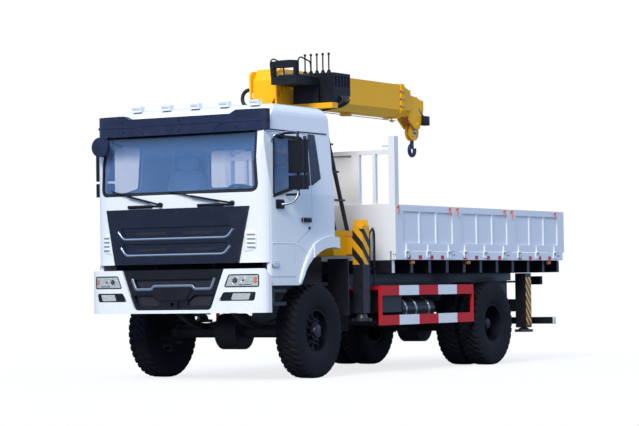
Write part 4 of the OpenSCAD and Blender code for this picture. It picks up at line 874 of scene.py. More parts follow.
@dataclass(frozen=True)
class TyreRubber(Finish):
    """Cured tyre rubber: near black and dull, greyed with road dust."""

    colour: str = "#0a0c14"
    dust: str = "#26262c"
    cloud_m: float = 0.2
    pebble_m: float = 0.003

    def shade(self, tree: Tree, coords: Socket) -> Socket:
        """Dust in wide clouds, broken by fine specks; the bump is a fine pebble.

        Args:
            tree: The material's node tree.
            coords: Object coordinates.

        Returns:
            The shader's socket.
        """
        cloud = noise(tree, coords, self.cloud_m, 8.0, 0.7)
        share = ranged(tree, cloud, (0.0, 0.5), (0.4, 0.85))
        return surface(tree, mixed(tree, share, linear(self.colour), linear(self.dust)), {
            "Roughness": ranged(tree, cloud, (0.68, 0.9)), "Specular IOR Level": 0.25,
            "Normal": bumped(tree, noise(tree, coords, self.pebble_m), 0.2),
        })


@dataclass(frozen=True)
class Metal(Finish):
    """Bare or plated metal: mirror-like, softened by fine rubbing marks."""

    colour: str = "#c9cdd1"
    rough: float = 0.16
    mark_m: float = 0.01

    def shade(self, tree: Tree, coords: Socket) -> Socket:
        """Rubbing marks vary the roughness, and the tone by up to a fifth.

        Args:
            tree: The material's node tree.
            coords: Object coordinates.

        Returns:
            The shader's socket.
        """
        mark = noise(tree, coords, self.mark_m, 6.0, 0.6)
        return surface(tree, mixed(tree, mark, linear(self.colour, 0.82), linear(self.colour)), {
            "Roughness": ranged(tree, mark, (self.rough * 0.6, self.rough * 1.6)),
            "Metallic": 1.0,
        })


@dataclass(frozen=True)
class Glazing(Finish):
    """Clear glass or lens plastic: tinted body, sharp reflections, faint film of dust; a window's
    tint is partly painted sky reflection.
    """

    tint: str = "#c4d6da"
    painted_visor_shadow: str = "#c4d6da"
    band: Pair = (9.0, 10.0)
    cover: float = 1.0
    rough: float = 0.02
    flute_m: float = 0.0
    film_m: float = 0.3

    def shade(self, tree: Tree, coords: Socket) -> Socket:
        """A lens bends light and has flutes as wave bump; a window is a thin veil of tint and
        painted sky reflection.

        The window's veil darkens and thickens into a painted shadow of the visor along its upper
        edge.

        Args:
            tree: The material's node tree.
            coords: Object coordinates.

        Returns:
            The shader's socket.
        """
        film = noise(tree, coords, self.film_m, 5.0)
        tone = mixed(tree, film, linear(self.tint, 0.93), linear(self.tint))
        inputs = {"Roughness": ranged(tree, film, (self.rough, self.rough + 0.05)), "IOR": 1.45}
        # A window: an opaque veil of tint and painted sky reflection, which darkens into a painted
        # visor shadow along the top.
        if self.cover < 1:
            top = ranged(tree, split(tree, coords)[2], of=self.band)
            tone = mixed(tree, top, tone, linear(self.painted_visor_shadow))
            inputs["Alpha"] = ranged(tree, top, (self.cover, min(1.0, self.cover + 0.6)))
            inputs["Specular IOR Level"] = 0.9
        else:
            inputs["Transmission Weight"] = 1.0
        if self.flute_m:
            inputs["Normal"] = bumped(tree, wave(tree, coords, self.flute_m, "Y"), 0.15, 0.002)
        return surface(tree, tone, inputs)


@dataclass(frozen=True)
class Cloth(Finish):
    """Woven seat cloth: crossed threads drawn at 6 mm so that they show, soft sheen."""

    colour: str = "#55585d"
    thread: str = "#83868a"
    thread_m: float = 0.006

    def shade(self, tree: Tree, coords: Socket) -> Socket:
        """Warp and weft as two crossed waves, multiplied into a weave.

        Args:
            tree: The material's node tree.
            coords: Object coordinates.

        Returns:
            The shader's socket.
        """
        warp, weft = (wave(tree, coords, self.thread_m, way) for way in ("Y", "DIAGONAL"))
        knot = maths(tree, "MULTIPLY", warp, weft)
        return surface(tree, mixed(tree, knot, linear(self.colour), linear(self.thread)), {
            "Normal": bumped(tree, knot, 0.3, 0.002), "Roughness": 0.85, "Sheen Weight": 0.3,
        })


@dataclass(frozen=True)
class Perforated(Finish):
    """Pressed mesh: a sheet with rows of round holes, drawn at 11 mm so that they show."""

    colour: str = "#33353a"
    # Painted shade: the dark seen through the holes, which are not cut.
    hole: str = "#060607"
    pitch_m: float = 0.011

    def shade(self, tree: Tree, coords: Socket) -> Socket:
        """Cells of a square lattice; inside a radius of each middle it is a hole, coloured with the
        painted shade seen through it.

        Args:
            tree: The material's node tree.
            coords: Object coordinates.

        Returns:
            The shader's socket.
        """
        lattice = {"Vector": coords, "Scale": 1 / self.pitch_m, "Randomness": 0.0}
        far = add_node(tree, "TexVoronoi", lattice).outputs["Distance"]
        solid = ranged(tree, far, of=(0.30, 0.42))
        return surface(tree, mixed(tree, solid, linear(self.hole), linear(self.colour)), {
            "Normal": bumped(tree, solid, 0.6, 0.003), "Roughness": 0.45,
        })


CAB_WHITE = Paint(
    "white cab enamel", "#eceeee", dust_amount=0.16, dust_top=1.5, rough=0.24, coat=0.5)
BED_WHITE = Paint(
    "white bed enamel", "#e4e8ec", dust_amount=0.22, dust_top=2.0, rough=0.36, coat=0.2)
CRANE_YELLOW = Paint(
    "yellow crane enamel", "#ffb806", dust_amount=0.0, rough=0.42, coat=0.0, specular=0.3)
CHASSIS_BLACK = Paint(
    "black chassis lacquer", "#10121b", dust="#35322f", dust_amount=0.5, dust_top=1.5,
    rough=0.42, coat=0.1)
GUARD_BANDS = Paint(
    "red and white guard enamel", "#cc1018", "#e8eaec", Pattern.GUARD, dust_amount=0.1,
    rough=0.45, coat=0.0, specular=0.3)
LEG_BANDS = Paint(
    "black leg lacquer with yellow bands", "#141724", "#f0ab12", Pattern.LEG,
    dust_amount=0.3, band_m=0.055)
ARM_BANDS = Paint(
    "black arm lacquer with yellow head", "#141724", "#f5b012", Pattern.ARM, dust_amount=0.15,
    band_m=0.105, rough=0.45, coat=0.0, face_y=1.008, band_low=1.33)
RIM_BLACK = Paint(
    "black rim lacquer", "#090b16", dust="#26262c", dust_top=1.2, rough=0.5, coat=0.0,
    specular=0.25)
JACK_GREY = Paint(
    "dark jack lacquer", "#24272d", dust="#4a4640", dust_amount=0.5, rough=0.45, coat=0.1)
HOOK_NAVY = Paint(
    "yellow block and navy hook enamel", "#ffb806", "#1a2340", Pattern.HOOK, dust_amount=0.0,
    rough=0.42, coat=0.0)
BASE_YELLOW = Paint(
    "yellow base enamel over black", "#ffb806", "#12141d", Pattern.HOOK, split_z=1.436,
    dust_amount=0.1, rough=0.42, coat=0.0)
BED_FLOOR = Paint(
    "white bed enamel over black joists", "#e4e8ec", "#14161f", Pattern.POSTS, split_z=1.389,
    dust_amount=0.1, rough=0.36, coat=0.2)
AXLE_IRON = Moulded(
    "dark cast iron", "#1a1b1e", "#35322e", grain_m=0.008, depth=0.35, rough=0.62)
TRIM_BLACK = Moulded(
    "black moulded plastic", "#0d0f17", "#191c28", grain_m=0.003, rough=0.48, specular=0.3)
VISOR_NAVY = Moulded("navy acrylic visor", "#161d38", "#27335a", depth=0.02, rough=0.3)
GRILLE_DARK = Moulded(
    "charcoal grille plastic", "#121628", "#1e243c", grain_m=0.003, rough=0.4, specular=0.4)
RUBBER = Moulded(
    "black sealing rubber", "#121316", "#1c1d21", grain_m=0.002, depth=0.1, rough=0.65)
HOSE = Moulded(
    "hydraulic hose rubber", "#131417", "#222328", grain_m=0.006, depth=0.2, rough=0.55)
HOSE_BLUE = Moulded("blue hose rubber", "#3b5f93", "#4d73a8", grain_m=0.006, depth=0.1)
DASH_GREY = Moulded(
    "dashboard plastic", "#3a3d43", "#4a4d54", grain_m=0.003, depth=0.15, rough=0.6)
LINING = Moulded("grey lining board", "#6d7686", "#7d8798", grain_m=0.005, depth=0.2, rough=0.8)
SEAT_VINYL = Moulded(
    "black seat vinyl", "#15161a", "#24262c", grain_m=0.005, depth=0.25, rough=0.45)
AMBER = Moulded(
    "amber lens plastic", "#e07a2a", "#f2a04a", grain_m=0.006, depth=0.2, rough=0.18)
RED_LENS = Moulded(
    "red reflector plastic", "#c21722", "#dc2a30", grain_m=0.005, depth=0.3, rough=0.2)
PALE_LENS = Moulded(
    "pale marker lens", "#c9d2da", "#e3e8ec", grain_m=0.005, depth=0.1, rough=0.2)
ORANGE_GRIP = Moulded("orange grip plastic", "#d9622a", "#e57a3c", rough=0.4)
# Painted shade: the grey that the vent slots take for the shadow under their hoods.
VENT_SLOT_SHADE = Moulded("shaded vent recess", "#7f8893", "#98a1ab", depth=0.05, rough=0.7)
RADIATOR = Moulded(
    "black radiator core", "#0a0b11", "#161821", grain_m=0.006, depth=0.3, rough=0.7,
    specular=0.2)
NUT_IRON = Moulded(
    "black wheel nut lacquer", "#10131d", "#232733", grain_m=0.006, depth=0.1, rough=0.4)
BORDER = Moulded(
    "black screen border print", "#0b0c10", "#14161b", grain_m=0.003, depth=0.02, rough=0.3)
PILLAR_NAVY = Moulded("navy pillar panel", "#141b33", "#1d2744", depth=0.08, rough=0.35)
SEAT_CLOTH = Cloth("pale grey seat cloth", "#bcc5cf", "#eef1f4")
TYRE = TyreRubber("black tyre rubber")
CHROME = Metal("chrome plate", "#d6dade", rough=0.14)
SATIN = Metal("satin aluminium", "#b9bec4", rough=0.3)
STEEL = Metal("ground steel rod", "#b3b7bb", rough=0.2, mark_m=0.02)
WIRE_ROPE = Metal("galvanised wire rope", "#9a9da1", rough=0.45, mark_m=0.004)
SILVERING = Metal("lamp silvering", "#e4e7ea", rough=0.07)
LAMP_SILVER = Metal("lamp reflector silvering", "#dfe4ea", rough=0.22, mark_m=0.03)
MIRROR_GLASS = Metal("silvered mirror glass", "#c8d0d6", rough=0.04)
PROJECTOR = Metal("dark projector glass", "#3d4a5c", rough=0.08)
# The window's tint stands partly for sky reflection, and from 2.58 m up it darkens into a painted
# shadow of the visor.
WINDOW = Glazing(
    "window glass with painted sky reflection and visor shadow", "#6c9ad6", painted_visor_shadow="#031016", band=(2.58, 2.86), cover=0.22)
LENS = Glazing("clear lamp lens", "#eef2f4", rough=0.04, flute_m=0.012)
MESH_DARK = Perforated("perforated grille sheet", "#171b2b")

SLOT_FINISH: dict[str, Finish] = {
    "cab_paint": CAB_WHITE, "bed_paint": BED_WHITE, "crane_paint": CRANE_YELLOW,
    "chassis_paint": CHASSIS_BLACK, "axle_iron": AXLE_IRON, "black_plastic": TRIM_BLACK,
    "visor_plastic": VISOR_NAVY, "grille_plastic": GRILLE_DARK, "tyre_rubber": TYRE,
    "rim_paint": RIM_BLACK, "cab_glass": WINDOW, "lamp_lens": LENS, "rod_chrome": STEEL,
    "guard_paint": GUARD_BANDS, "seat_cloth": SEAT_CLOTH, "dash_plastic": DASH_GREY,
    "hose_rubber": HOSE, "jack_steel": JACK_GREY,
}
NODE_FINISH: dict[str, Finish] = {
    "outrigger_left": ARM_BANDS, "outrigger_right": ARM_BANDS, "ladder": CHASSIS_BLACK,
    "hook_block": HOOK_NAVY, "lamps": LAMP_SILVER, "crane_base": BASE_YELLOW,
    "bed_floor": BED_FLOOR,
}


# Pieces

def linked(name: str, data: bpy.types.ID) -> bpy.types.Object:
    """A new object of the data, at the origin in the scene.

    Args:
        name: The object's name.
        data: Its mesh, camera or light.

    Returns:
        The object.
    """
    made = bpy.data.objects.new(name, data)
    bpy.context.scene.collection.objects.link(made)
    return made


def mesh_of(name: str, patch: Patch, weld: float, crumb: float) -> bpy.types.Mesh:
    """A mesh of a patch with its seams closed and its faces outward.

    Args:
        name: The mesh's name.
        patch: Its vertices and quads.
        weld: Vertices closer than this become one.
        crumb: Edges shorter than this go.

    Returns:
        The mesh.
    """
    mesh = bpy.data.meshes.new(name)
    mesh.from_pydata(patch[0].tolist(), [], patch[1].tolist())
    work = bmesh.new()
    work.from_mesh(mesh)
    bmesh.ops.remove_doubles(work, verts=work.verts, dist=weld)
    bmesh.ops.dissolve_degenerate(work, edges=work.edges, dist=crumb)
    bmesh.ops.recalc_face_normals(work, faces=work.faces)
    work.to_mesh(mesh)
    work.free()
    return mesh


def put(
    name: str, patch: Patch, finish: Finish, body: str, crease: float = 40.0,
) -> bpy.types.Object:
    """Makes a piece of a patch, dresses it and hangs it on a body.

    Args:
        name: The piece's name.
        patch: Its vertices and quads.
        finish: Its finish.
        body: The CAD body it rides on.
        crease: Edges bent more than this many degrees stay sharp.

    Returns:
        The piece.
    """
    mesh = mesh_of(name, patch, 2e-6, 1e-6)
    mesh.shade_smooth()
    mesh.set_sharp_from_angle(angle=math.radians(crease))
    mesh.materials.append(finish.material())
    piece = linked(name, mesh)
    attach(piece, body)
    LOG.info("%s: %d faces on %s", name, len(mesh.polygons), body)
    return piece


def put_both(name: str, patch: Patch, finish: Finish, body: str) -> None:
    """One piece of a patch and its mirror image."""
    put(name, joined(patch, other_side(patch)), finish, body)


def put_each(name: str, patch: Patch, finish: Finish, body: str) -> None:
    """A piece for each side, its word put in place of {} in the piece's and body's names."""
    for (side, word), each in zip(SIDES, (patch, other_side(patch))):
        put(name.format(word), each, finish, body.format(word))


# Sub-assemblies

@dataclass
class Frame:
    """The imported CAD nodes, dressed by the record's material slots."""

    nodes: dict[str, bpy.types.Object]
    record: dict

    def dress(self) -> None:
        """Gives each node the finish of its slot, or its own where it has one."""
        slots = {part["node"]: part["material_slot"] for part in self.record["subparts"]}
        for name, node in self.nodes.items():
            finish = NODE_FINISH.get(name) or SLOT_FINISH[slots[name]]
            node.data.materials.clear()
            node.data.materials.append(finish.material())
            LOG.info("node %s: %s", name, finish.name)


@dataclass(frozen=True)
class FloorFinish(Finish):
    """A pale matt floor that clears towards its rim."""

    tones: tuple[str, str] = ("#f2f3f4", "#f7f7f8")
    speck_m: float = 0.5
    fade_m: Pair = (3.0, 12.0)
    clear: Pair = (0.78, 1.0)

    def shade(self, tree: Tree, coords: Socket) -> Socket:
        """Faint clouds of two pale tones, clearer with the distance from the middle.

        Args:
            tree: The material's node tree.
            coords: Object coordinates.

        Returns:
            The shader's socket.
        """
        far = add_node(tree, "VectorMath", {0: coords}, operation="LENGTH").outputs["Value"]
        tone = mixed(tree, noise(tree, coords, self.speck_m), *map(linear, self.tones))
        matt = add_node(tree, "BsdfDiffuse", {"Color": tone}).outputs[0]
        clear = add_node(tree, "BsdfTransparent").outputs[0]
        fade = ranged(tree, far, self.clear, self.fade_m)
        return add_node(tree, "MixShader", {0: fade, 1: matt, 2: clear}).outputs[0]


@dataclass
class Studio:
    """Camera at the photograph's place, pale floor and soft light."""

    eye: Triple = (26.063, 15.379, 1.061)
    aim: Triple = (0.648, 0.0, 2.004)
    roll_deg: float = -0.833
    focal_px: float = 2340.7
    frame_px: float = 639.0
    sensor_mm: float = 36.0
    view_m: float = 300.0
    floor_m: float = 60.0
    floor_z: float = -0.0005
    key_w: float = 3.1
    key_deg: float = 25.0
    key_tone: Triple = (1.0, 0.95, 0.87)
    key_way: Triple = (-0.80, -0.20, -0.60)
    sky: float = 1.05
    heaven: str = "#b4d2ff"
    ground: str = "#23272f"
    horizon: Pair = (-0.08, 0.04)

    def camera(self) -> None:
        """Sets the camera from its place, aim and roll, with no shift."""
        eye, roll = Vector(self.eye), math.radians(self.roll_deg)
        ahead = (Vector(self.aim) - eye).normalized()
        right = ahead.cross(Vector(UP)).normalized()
        up = right.cross(ahead)
        r = math.cos(roll) * right + math.sin(roll) * up
        u = math.cos(roll) * up - math.sin(roll) * right
        data = bpy.data.cameras.new("camera")
        data.sensor_fit = "HORIZONTAL"
        data.sensor_width = self.sensor_mm
        data.lens = self.sensor_mm * self.focal_px / self.frame_px
        data.clip_end = self.view_m
        cam = linked("camera", data)
        turn = Matrix((r, u, -ahead)).transposed().to_4x4()
        cam.matrix_world = Matrix.Translation(eye) @ turn
        bpy.context.scene.camera = cam

    def floor(self) -> None:
        """A pale floor as a disc of rings, clear towards its rim so that no horizon shows."""
        a = np.linspace(0, 2 * math.pi, 97)[:-1, None]
        r = self.floor_m * np.linspace(0, 1, 12)[None] ** 2
        low = np.full_like(r * a, self.floor_z)
        disc = weave(np.stack([r * np.cos(a), r * np.sin(a), low], axis=-1), wrap_u=True)
        mesh = mesh_of("floor", disc, 1e-5, 1e-5)
        mesh.materials.append(FloorFinish("pale floor").material())
        floor = linked("floor", mesh)

    def light(self) -> None:
        """A wide warm key from ahead, and a blue sky over dark ground that fills the side."""
        data = bpy.data.lights.new("key", "SUN")
        data.energy = self.key_w
        data.angle = math.radians(self.key_deg)
        data.color = self.key_tone
        key = linked("key", data)
        key.rotation_mode = "QUATERNION"
        key.rotation_quaternion = Vector(self.key_way).to_track_quat("-Z", "Y")
        world = bpy.data.worlds.new("sky")
        world.use_nodes = True
        tree = world.node_tree
        tree.nodes.clear()
        path = add_node(tree, "LightPath").outputs
        seen = maths(tree, "MAXIMUM", path["Is Camera Ray"], path["Is Transmission Ray"])
        way = add_node(tree, "TexCoord").outputs["Generated"]
        above = ranged(tree, split(tree, way)[2], of=self.horizon)
        dome = mixed(tree, above, linear(self.ground), linear(self.heaven))
        fill = add_node(tree, "Background", {"Color": dome, "Strength": self.sky}).outputs[0]
        white = add_node(tree, "Background", {"Color": linear("#ffffff")}).outputs[0]
        both = add_node(tree, "MixShader", {0: seen, 1: fill, 2: white}).outputs[0]
        add_node(tree, "OutputWorld", {"Surface": both})
        bpy.context.scene.world = world

    def build(self) -> None:
        """Sets up the view, the floor and the light."""
        bpy.context.scene.view_settings.view_transform = "Standard"
        self.camera()
        self.floor()
        self.light()


@dataclass
class Tyres:
    """Block-tread tyres in place of the plain CAD ones."""

    radius: float = 0.55
    bead: float = 0.254
    width: float = 0.295
    front_x: float = 2.65
    rear_x: float = -1.80
    front_y: float = 1.04
    twin_y: Pair = (0.744, 1.076)
    lugs: int = 38
    per_lug: int = 10
    groove: float = 0.015
    lug_skew: float = 0.9
    lug_half: float = 0.30
    rib_skew: float = 1.2
    rib_half: float = 0.36
    ramp: float = 0.05
    zigzag: Pair = (0.34, 0.07)
    tread_from: Pair = (0.80, 0.10)
    wall_rib: float = 0.0018
    wall_ribs: Pair = (0.08, 0.66)
    crease: float = 30.0
    width_shares: tuple[float, ...] = (
        0.72, 0.90, 0.97, 1.0, 1.0, 0.98, 0.94, 0.88, 0.8, 0.6, 0.3, 0.0)
    height_shares: tuple[float, ...] = (
        0.0, 0.14, 0.30, 0.46, 0.60, 0.76, 0.87, 0.945, 0.982, 0.995, 1.0, 1.0)

    def profile(self) -> tuple[Array, Array]:
        """Half-section joined to its mirror image: (distance from the axle, across).

        Returns:
            The two as arrays of one length.
        """
        t = np.linspace(0, 1, len(self.width_shares))
        fine = np.linspace(0, 1, 34)
        across = np.interp(fine, t, self.width_shares) * self.width / 2
        rise = self.bead + np.interp(fine, t, self.height_shares) * (self.radius - self.bead)
        lip = np.linspace(0.9, 0.0, 4)[:-1] * across[0]
        r = np.concatenate([rise, rise[::-1][1:], np.full(2 * len(lip), self.bead)])
        return r, np.concatenate([across, -across[::-1][1:], -lip, [0.0, lip[1], lip[0]]])

    def tread(self, angle: Array, y: Array, r: Array) -> Array:
        """Depth cut into the tread, and ribs raised on the side wall.

        Each shoulder has lugs: a saw of the angle, skewed by the distance from the
        middle, is groove near both ends of its turn. The middle rib is cut half a pitch
        on, and a zigzag groove parts the rib from the shoulders.

        Args:
            angle: Angle round the axle.
            y: Distance across from the tyre's middle.
            r: Distance from the axle.

        Returns:
            Depth in metres, below 0 on a rib of the side wall.
        """
        part = angle * self.lugs / (2 * math.pi)
        out = np.abs(y) / (self.width / 2)
        side = (part + 0.5 * (y > 0) + self.lug_skew * out) % 1.0
        lug = np.clip((np.abs(side - 0.5) - self.lug_half) / self.ramp, 0, 1)
        middle = (part + 0.25 + self.rib_skew * y / self.width) % 1.0
        rib = np.clip((np.abs(middle - 0.5) - self.rib_half) / self.ramp, 0, 1)
        zig = self.zigzag[0] + self.zigzag[1] * (np.abs(part % 1.0 - 0.5) * 4 - 1)
        ring = np.clip(1 - np.abs(out - zig) / self.ramp, 0, 1)
        cut = np.maximum(np.where(out > zig, lug, rib), ring)
        rise = (r - self.bead) / (self.radius - self.bead)
        zone = np.clip((rise - self.tread_from[0]) / self.tread_from[1], 0, 1)
        wall = (rise > self.wall_ribs[0]) * (rise < self.wall_ribs[1])
        ribs = self.wall_rib * (np.cos((rise - 0.3) * 60) > 0.6) * wall
        return self.groove * zone * cut - ribs

    def one(self, x: float, y: float) -> Patch:
        """A tyre turned about the Y axis through (x, y), its tread cut square to it.

        Args:
            x: Axle's place along the truck.
            y: The tyre's middle.

        Returns:
            The closed tyre.
        """
        r, across = self.profile()
        count = self.lugs * self.per_lug
        turn = (np.arange(count) * 2 * math.pi / count)[:, None]
        depth = self.tread(turn, across[None], r[None])
        far = np.where(depth >= 0, r[None] - depth, r[None])
        swell = np.where(depth < 0, -depth / self.width, -0.25 * depth / self.width)
        points = [x + far * np.cos(turn), y + across[None] * (1 + swell)]
        points.append(self.radius + far * np.sin(turn))
        return weave(np.stack(points, axis=-1), wrap_u=True, wrap_v=True)

    def build(self) -> None:
        """Makes the two front tyres and the two twin pairs."""
        for side, word in SIDES:
            single = self.one(self.front_x, side * self.front_y)
            body = f"front_{word}_wheel"
            front = put(f"tread_front_{word}", single, TYRE, body, self.crease)
            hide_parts(f"tyre_front_{word}")
            twins = joined(*(self.one(self.rear_x, side * y) for y in self.twin_y))
            body = f"rear_{word}_wheels"
            rear = put(f"tread_rear_{word}", twins, TYRE, body, self.crease)
            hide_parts(f"tyres_rear_{word}")


@dataclass
class WheelTrim:
    """Wheel nuts, hub caps and valve stems on the CAD rims."""

    front: Triple = (2.65, 1.04, 0.55)
    rear: Triple = (-1.80, 1.076, 0.55)
    front_out: Triple = (0.052, 0.096, 0.036)
    rear_out: Triple = (-0.080, -0.020, 0.075)
    nuts: int = 10
    nut_ring: float = 0.142
    nut_turn: float = 0.31
    nut_size: Pair = (0.034, 0.020)
    stud: Pairs = ((0, 0.02), (0.011, 0.02), (0.011, 0.034), (0.008, 0.037), (0, 0.037))
    cap_bolts: int = 8
    cap_ring: float = 0.091
    cap_size: Pair = (0.020, 0.011)
    dome_r: tuple[float, ...] = (0, 0.078, 0.078, 0.072, 0.055, 0.03, 0)
    dome_h: tuple[float, ...] = (0, 0, 0.35, 0.75, 0.94, 1.0, 1.0)
    valve: Path = ((-0.20, 0.002, 0.07), (-0.20, 0.035, 0.075))
    valve_r: float = 0.005

    def wheel(self, centre: Triple, out: Triple) -> Patch:
        """Nuts on the disc, bolts on the hub's rim, and a domed cap turned about the axle.

        Args:
            centre: The tyre's middle.
            out: How far out the disc and the hub lie, and the length of the hub cap.

        Returns:
            The trim of one wheel.
        """
        x, y, z = centre
        face, hub, cap = out
        seat = (x + self.nut_ring, y + face, z)
        nut = joined(bolt(seat, LEFT, *self.nut_size), turned(self.stud, seat, LEFT, 12))
        small = bolt((x + self.cap_ring, y + hub, z), LEFT, *self.cap_size)
        dome = np.stack([self.dome_r, np.multiply(self.dome_h, cap)], axis=-1)
        return joined(
            ringed(nut, self.nuts, centre, self.nut_turn),
            ringed(small, self.cap_bolts, centre),
            turned(dome, (x, y + hub, z), LEFT),
            tube(np.array(self.valve) + (x, y + face, z), self.valve_r, sides=8),
        )

    def build(self) -> None:
        """Dresses the two front wheels and the two outer rear ones."""
        front, rear = self.wheel(self.front, self.front_out), self.wheel(self.rear, self.rear_out)
        put_each("wheel_nuts_front_{}", front, NUT_IRON, "front_{}_wheel")
        put_each("wheel_nuts_rear_{}", rear, NUT_IRON, "rear_{}_wheels")


@dataclass
class CabTrim:
    """Seals, wipers, vents, pillar panels, lamps and handles on the cab and its doors."""

    screen: Pairs = ((1.085, 2.165), (-1.085, 2.165), (-1.045, 2.905), (1.045, 2.905))
    frit: Pairs = ((1.070, 2.181), (-1.070, 2.181), (-1.032, 2.890), (1.032, 2.890))
    window: Pairs = ((3.635, 2.112), (3.535, 2.80), (2.912, 2.80), (2.912, 2.275))
    sill: Pairs = ((2.90, 2.262), (3.64, 2.10))
    rear_window: Quad = (-0.56, 2.28, 0.56, 2.76)
    screen_bead: Triple = (0.024, 0.016, 0.006)
    rear_bead: Triple = (0.03, 0.018, 0.007)
    frit_band: Triple = (0.026, 0.0012, 0.0005)
    window_bead: Triple = (0.030, 0.016, 0.006)
    sill_bead: Triple = (0.022, 0.012, 0.004)
    back_x: float = 2.29
    wipers: tuple[Quad, ...] = ((-0.19, 2.04, -0.91, 2.222), (0.787, 2.034, -0.074, 2.186))
    pivot: Pairs = ((0, -0.01), (0.027, -0.01), (0.027, 0.03), (0.019, 0.045), (0, 0.045))
    covers: tuple[Block, ...] = (
        ((3.845, -0.47, -0.035), (3.892, -0.115, 0.002), 0.014),
        ((3.85, -0.12, -0.026), (3.882, 0.01, -0.004), 0.009),
    )
    vent: Pairs = (
        (0.925, 1.472), (1.02, 1.487), (1.066, 1.535), (1.068, 1.682), (1.03, 1.722),
        (0.925, 1.722))
    vent_slots: Quad = (1.524, 1.572, 1.620, 1.668)
    slot_y: Pair = (0.962, 1.056)
    slot_half: float = 0.010
    hood_y: Triple = (0.95, 1.052, 1.06)
    hood_up: float = 0.014
    hood_bead: Triple = (0.012, 0.010, 0.004)
    pillar: Pairs = ((2.79, 2.24), (2.79, 2.85), (2.63, 2.85), (2.565, 2.335))
    pillar_door: Pairs = ((2.890, 2.235), (2.890, 2.828), (2.810, 2.828), (2.810, 2.245))
    pillar_lines: Quad = (2.40, 2.50, 2.60, 2.70)
    line_ends: Pairs = ((2.62, 0.012), (2.775, -0.006))
    line_bead: Triple = (0.014, 0.006, 0.002)
    gutter: Pairs = ((2.36, 2.868), (3.655, 2.868))
    gutter_bead: Triple = (0.014, 0.012, 0.004)
    handle: Block = ((2.842, 1.196, 1.815), (3.038, 1.2285, 1.871), 0.012)
    lock: Pairs = ((0, 0), (0.016, 0), (0.016, 0.01), (0.012, 0.014), (0, 0.014))
    lock_at: Triple = (2.868, 1.2, 1.752)
    fold: Triple = (0.012, 0.006, 0.002)
    wing_fold: Pairs = ((2.90, 1.45), (3.0, 1.50), (3.155, 1.564))
    door_fold: Pairs = ((3.185, 1.57), (3.66, 1.57))
    arch: Triple = (2.37, 0.74, 0.792)
    arch_span: Pair = (27.0, 58.4)
    arch_lean: float = 4.6
    arch_wide: Pair = (0.03, 0.118)
    repeater: Quad = (3.535, 1.292, 3.688, 1.365)
    repeater_lens: Quad = (3.545, 1.300, 3.678, 1.357)
    marker: Block = ((3.448, -0.052, 3.196), (3.458, 0.052, 3.226), 0.004)
    marker_y: tuple[float, ...] = (-0.828, -0.408, 0.0, 0.408, 0.828)
    mirrors: tuple[Quad, Quad] = ((1.262, 2.388, 1.463, 2.732), (1.262, 2.196, 1.463, 2.326))
    mirror_x: float = 3.31
    root: Quad = (3.43, 1.962, 3.585, 2.068)
    upper_root: Block = ((3.318, 1.125, 2.772), (3.40, 1.166, 2.838), 0.012)
    low_stay: Path = (
        (3.50, 1.218, 2.01), (3.44, 1.31, 2.02), (3.37, 1.36, 2.09), (3.355, 1.36, 2.19))
    high_stay: Path = (
        (3.60, 1.16, 2.73), (3.60, 1.19, 2.80), (3.46, 1.30, 2.845), (3.36, 1.36, 2.835),
        (3.355, 1.36, 2.74))

    def seals(self) -> None:
        """Rubber round the windows, and the black border on the screen's glass."""
        screen = soft_corners(self.screen, 0.09, 8, 30)
        rear = box_outline(*self.rear_window, 0.06, 6)
        put("screen_seal", joined(
            bead(screen, sunk(FRONT, -0.004), self.screen_bead),
            bead(rear, flat(0, self.back_x, -1), self.rear_bead),
        ), RUBBER, "cab")
        frit = soft_corners(self.frit, 0.08, 8, 30)
        border = bead(frit, sunk(FRONT, -0.0108), self.frit_band)
        put("screen_border", border, BORDER, "cab")
        window = soft_corners(self.window, 0.055, 6, 10)
        put_each("window_seal_{}", joined(
            bead(window, sunk(SIDE, -0.003), self.window_bead),
            strip(self.sill, 0.0, sunk(SIDE, 0.001), self.sill_bead),
        ), RUBBER, DOOR)

    def wiper(self, y0: float, z0: float, y1: float, z1: float) -> Patch:
        """A pivot, an arm out to its blade, and covers over the linkage below.

        The arm and the blade's spine stand off the screen by a half sine of the share of
        the way from the pivot at (y0, z0) to the tip at (y1, z1).

        Args:
            y0: The pivot's distance to the left.
            z0: The pivot's height.
            y1: The tip's distance to the left.
            z1: The tip's height.

        Returns:
            The wiper.
        """
        def bar(start: float, span: float, off: Pair, section: Triple) -> Patch:
            """A bar over part of the way, off the screen by a base and a half sine.

            Args:
                start: Share of the way at which it begins.
                span: Share of the way that it covers.
                off: The base, and the height of the half sine over it.
                section: Width, height and edge radius.

            Returns:
                The bar.
            """
            t = start + span * np.linspace(0, 1, 9)
            out = off[0] + off[1] * np.sin(t * math.pi)
            path = FRONT(y0 + t * (y1 - y0), z0 + t * (z1 - z0), out)
            return carried(path, bar_outline(*section), AHEAD)
        foot = np.array([0.0, y0, z0])
        return joined(
            bar(0.0, 0.62, (0.034, 0.012), (0.022, 0.012, 0.004)),
            bar(0.2, 0.8, (0.016, 0.0), (0.007, 0.030, 0.002)),
            bar(0.25, 0.7, (0.027, 0.005), (0.014, 0.012, 0.004)),
            turned(self.pivot, FRONT(y0, z0), AHEAD, 20),
            *(soft_block(foot + low, foot + high, edge) for low, high, edge in self.covers),
        )

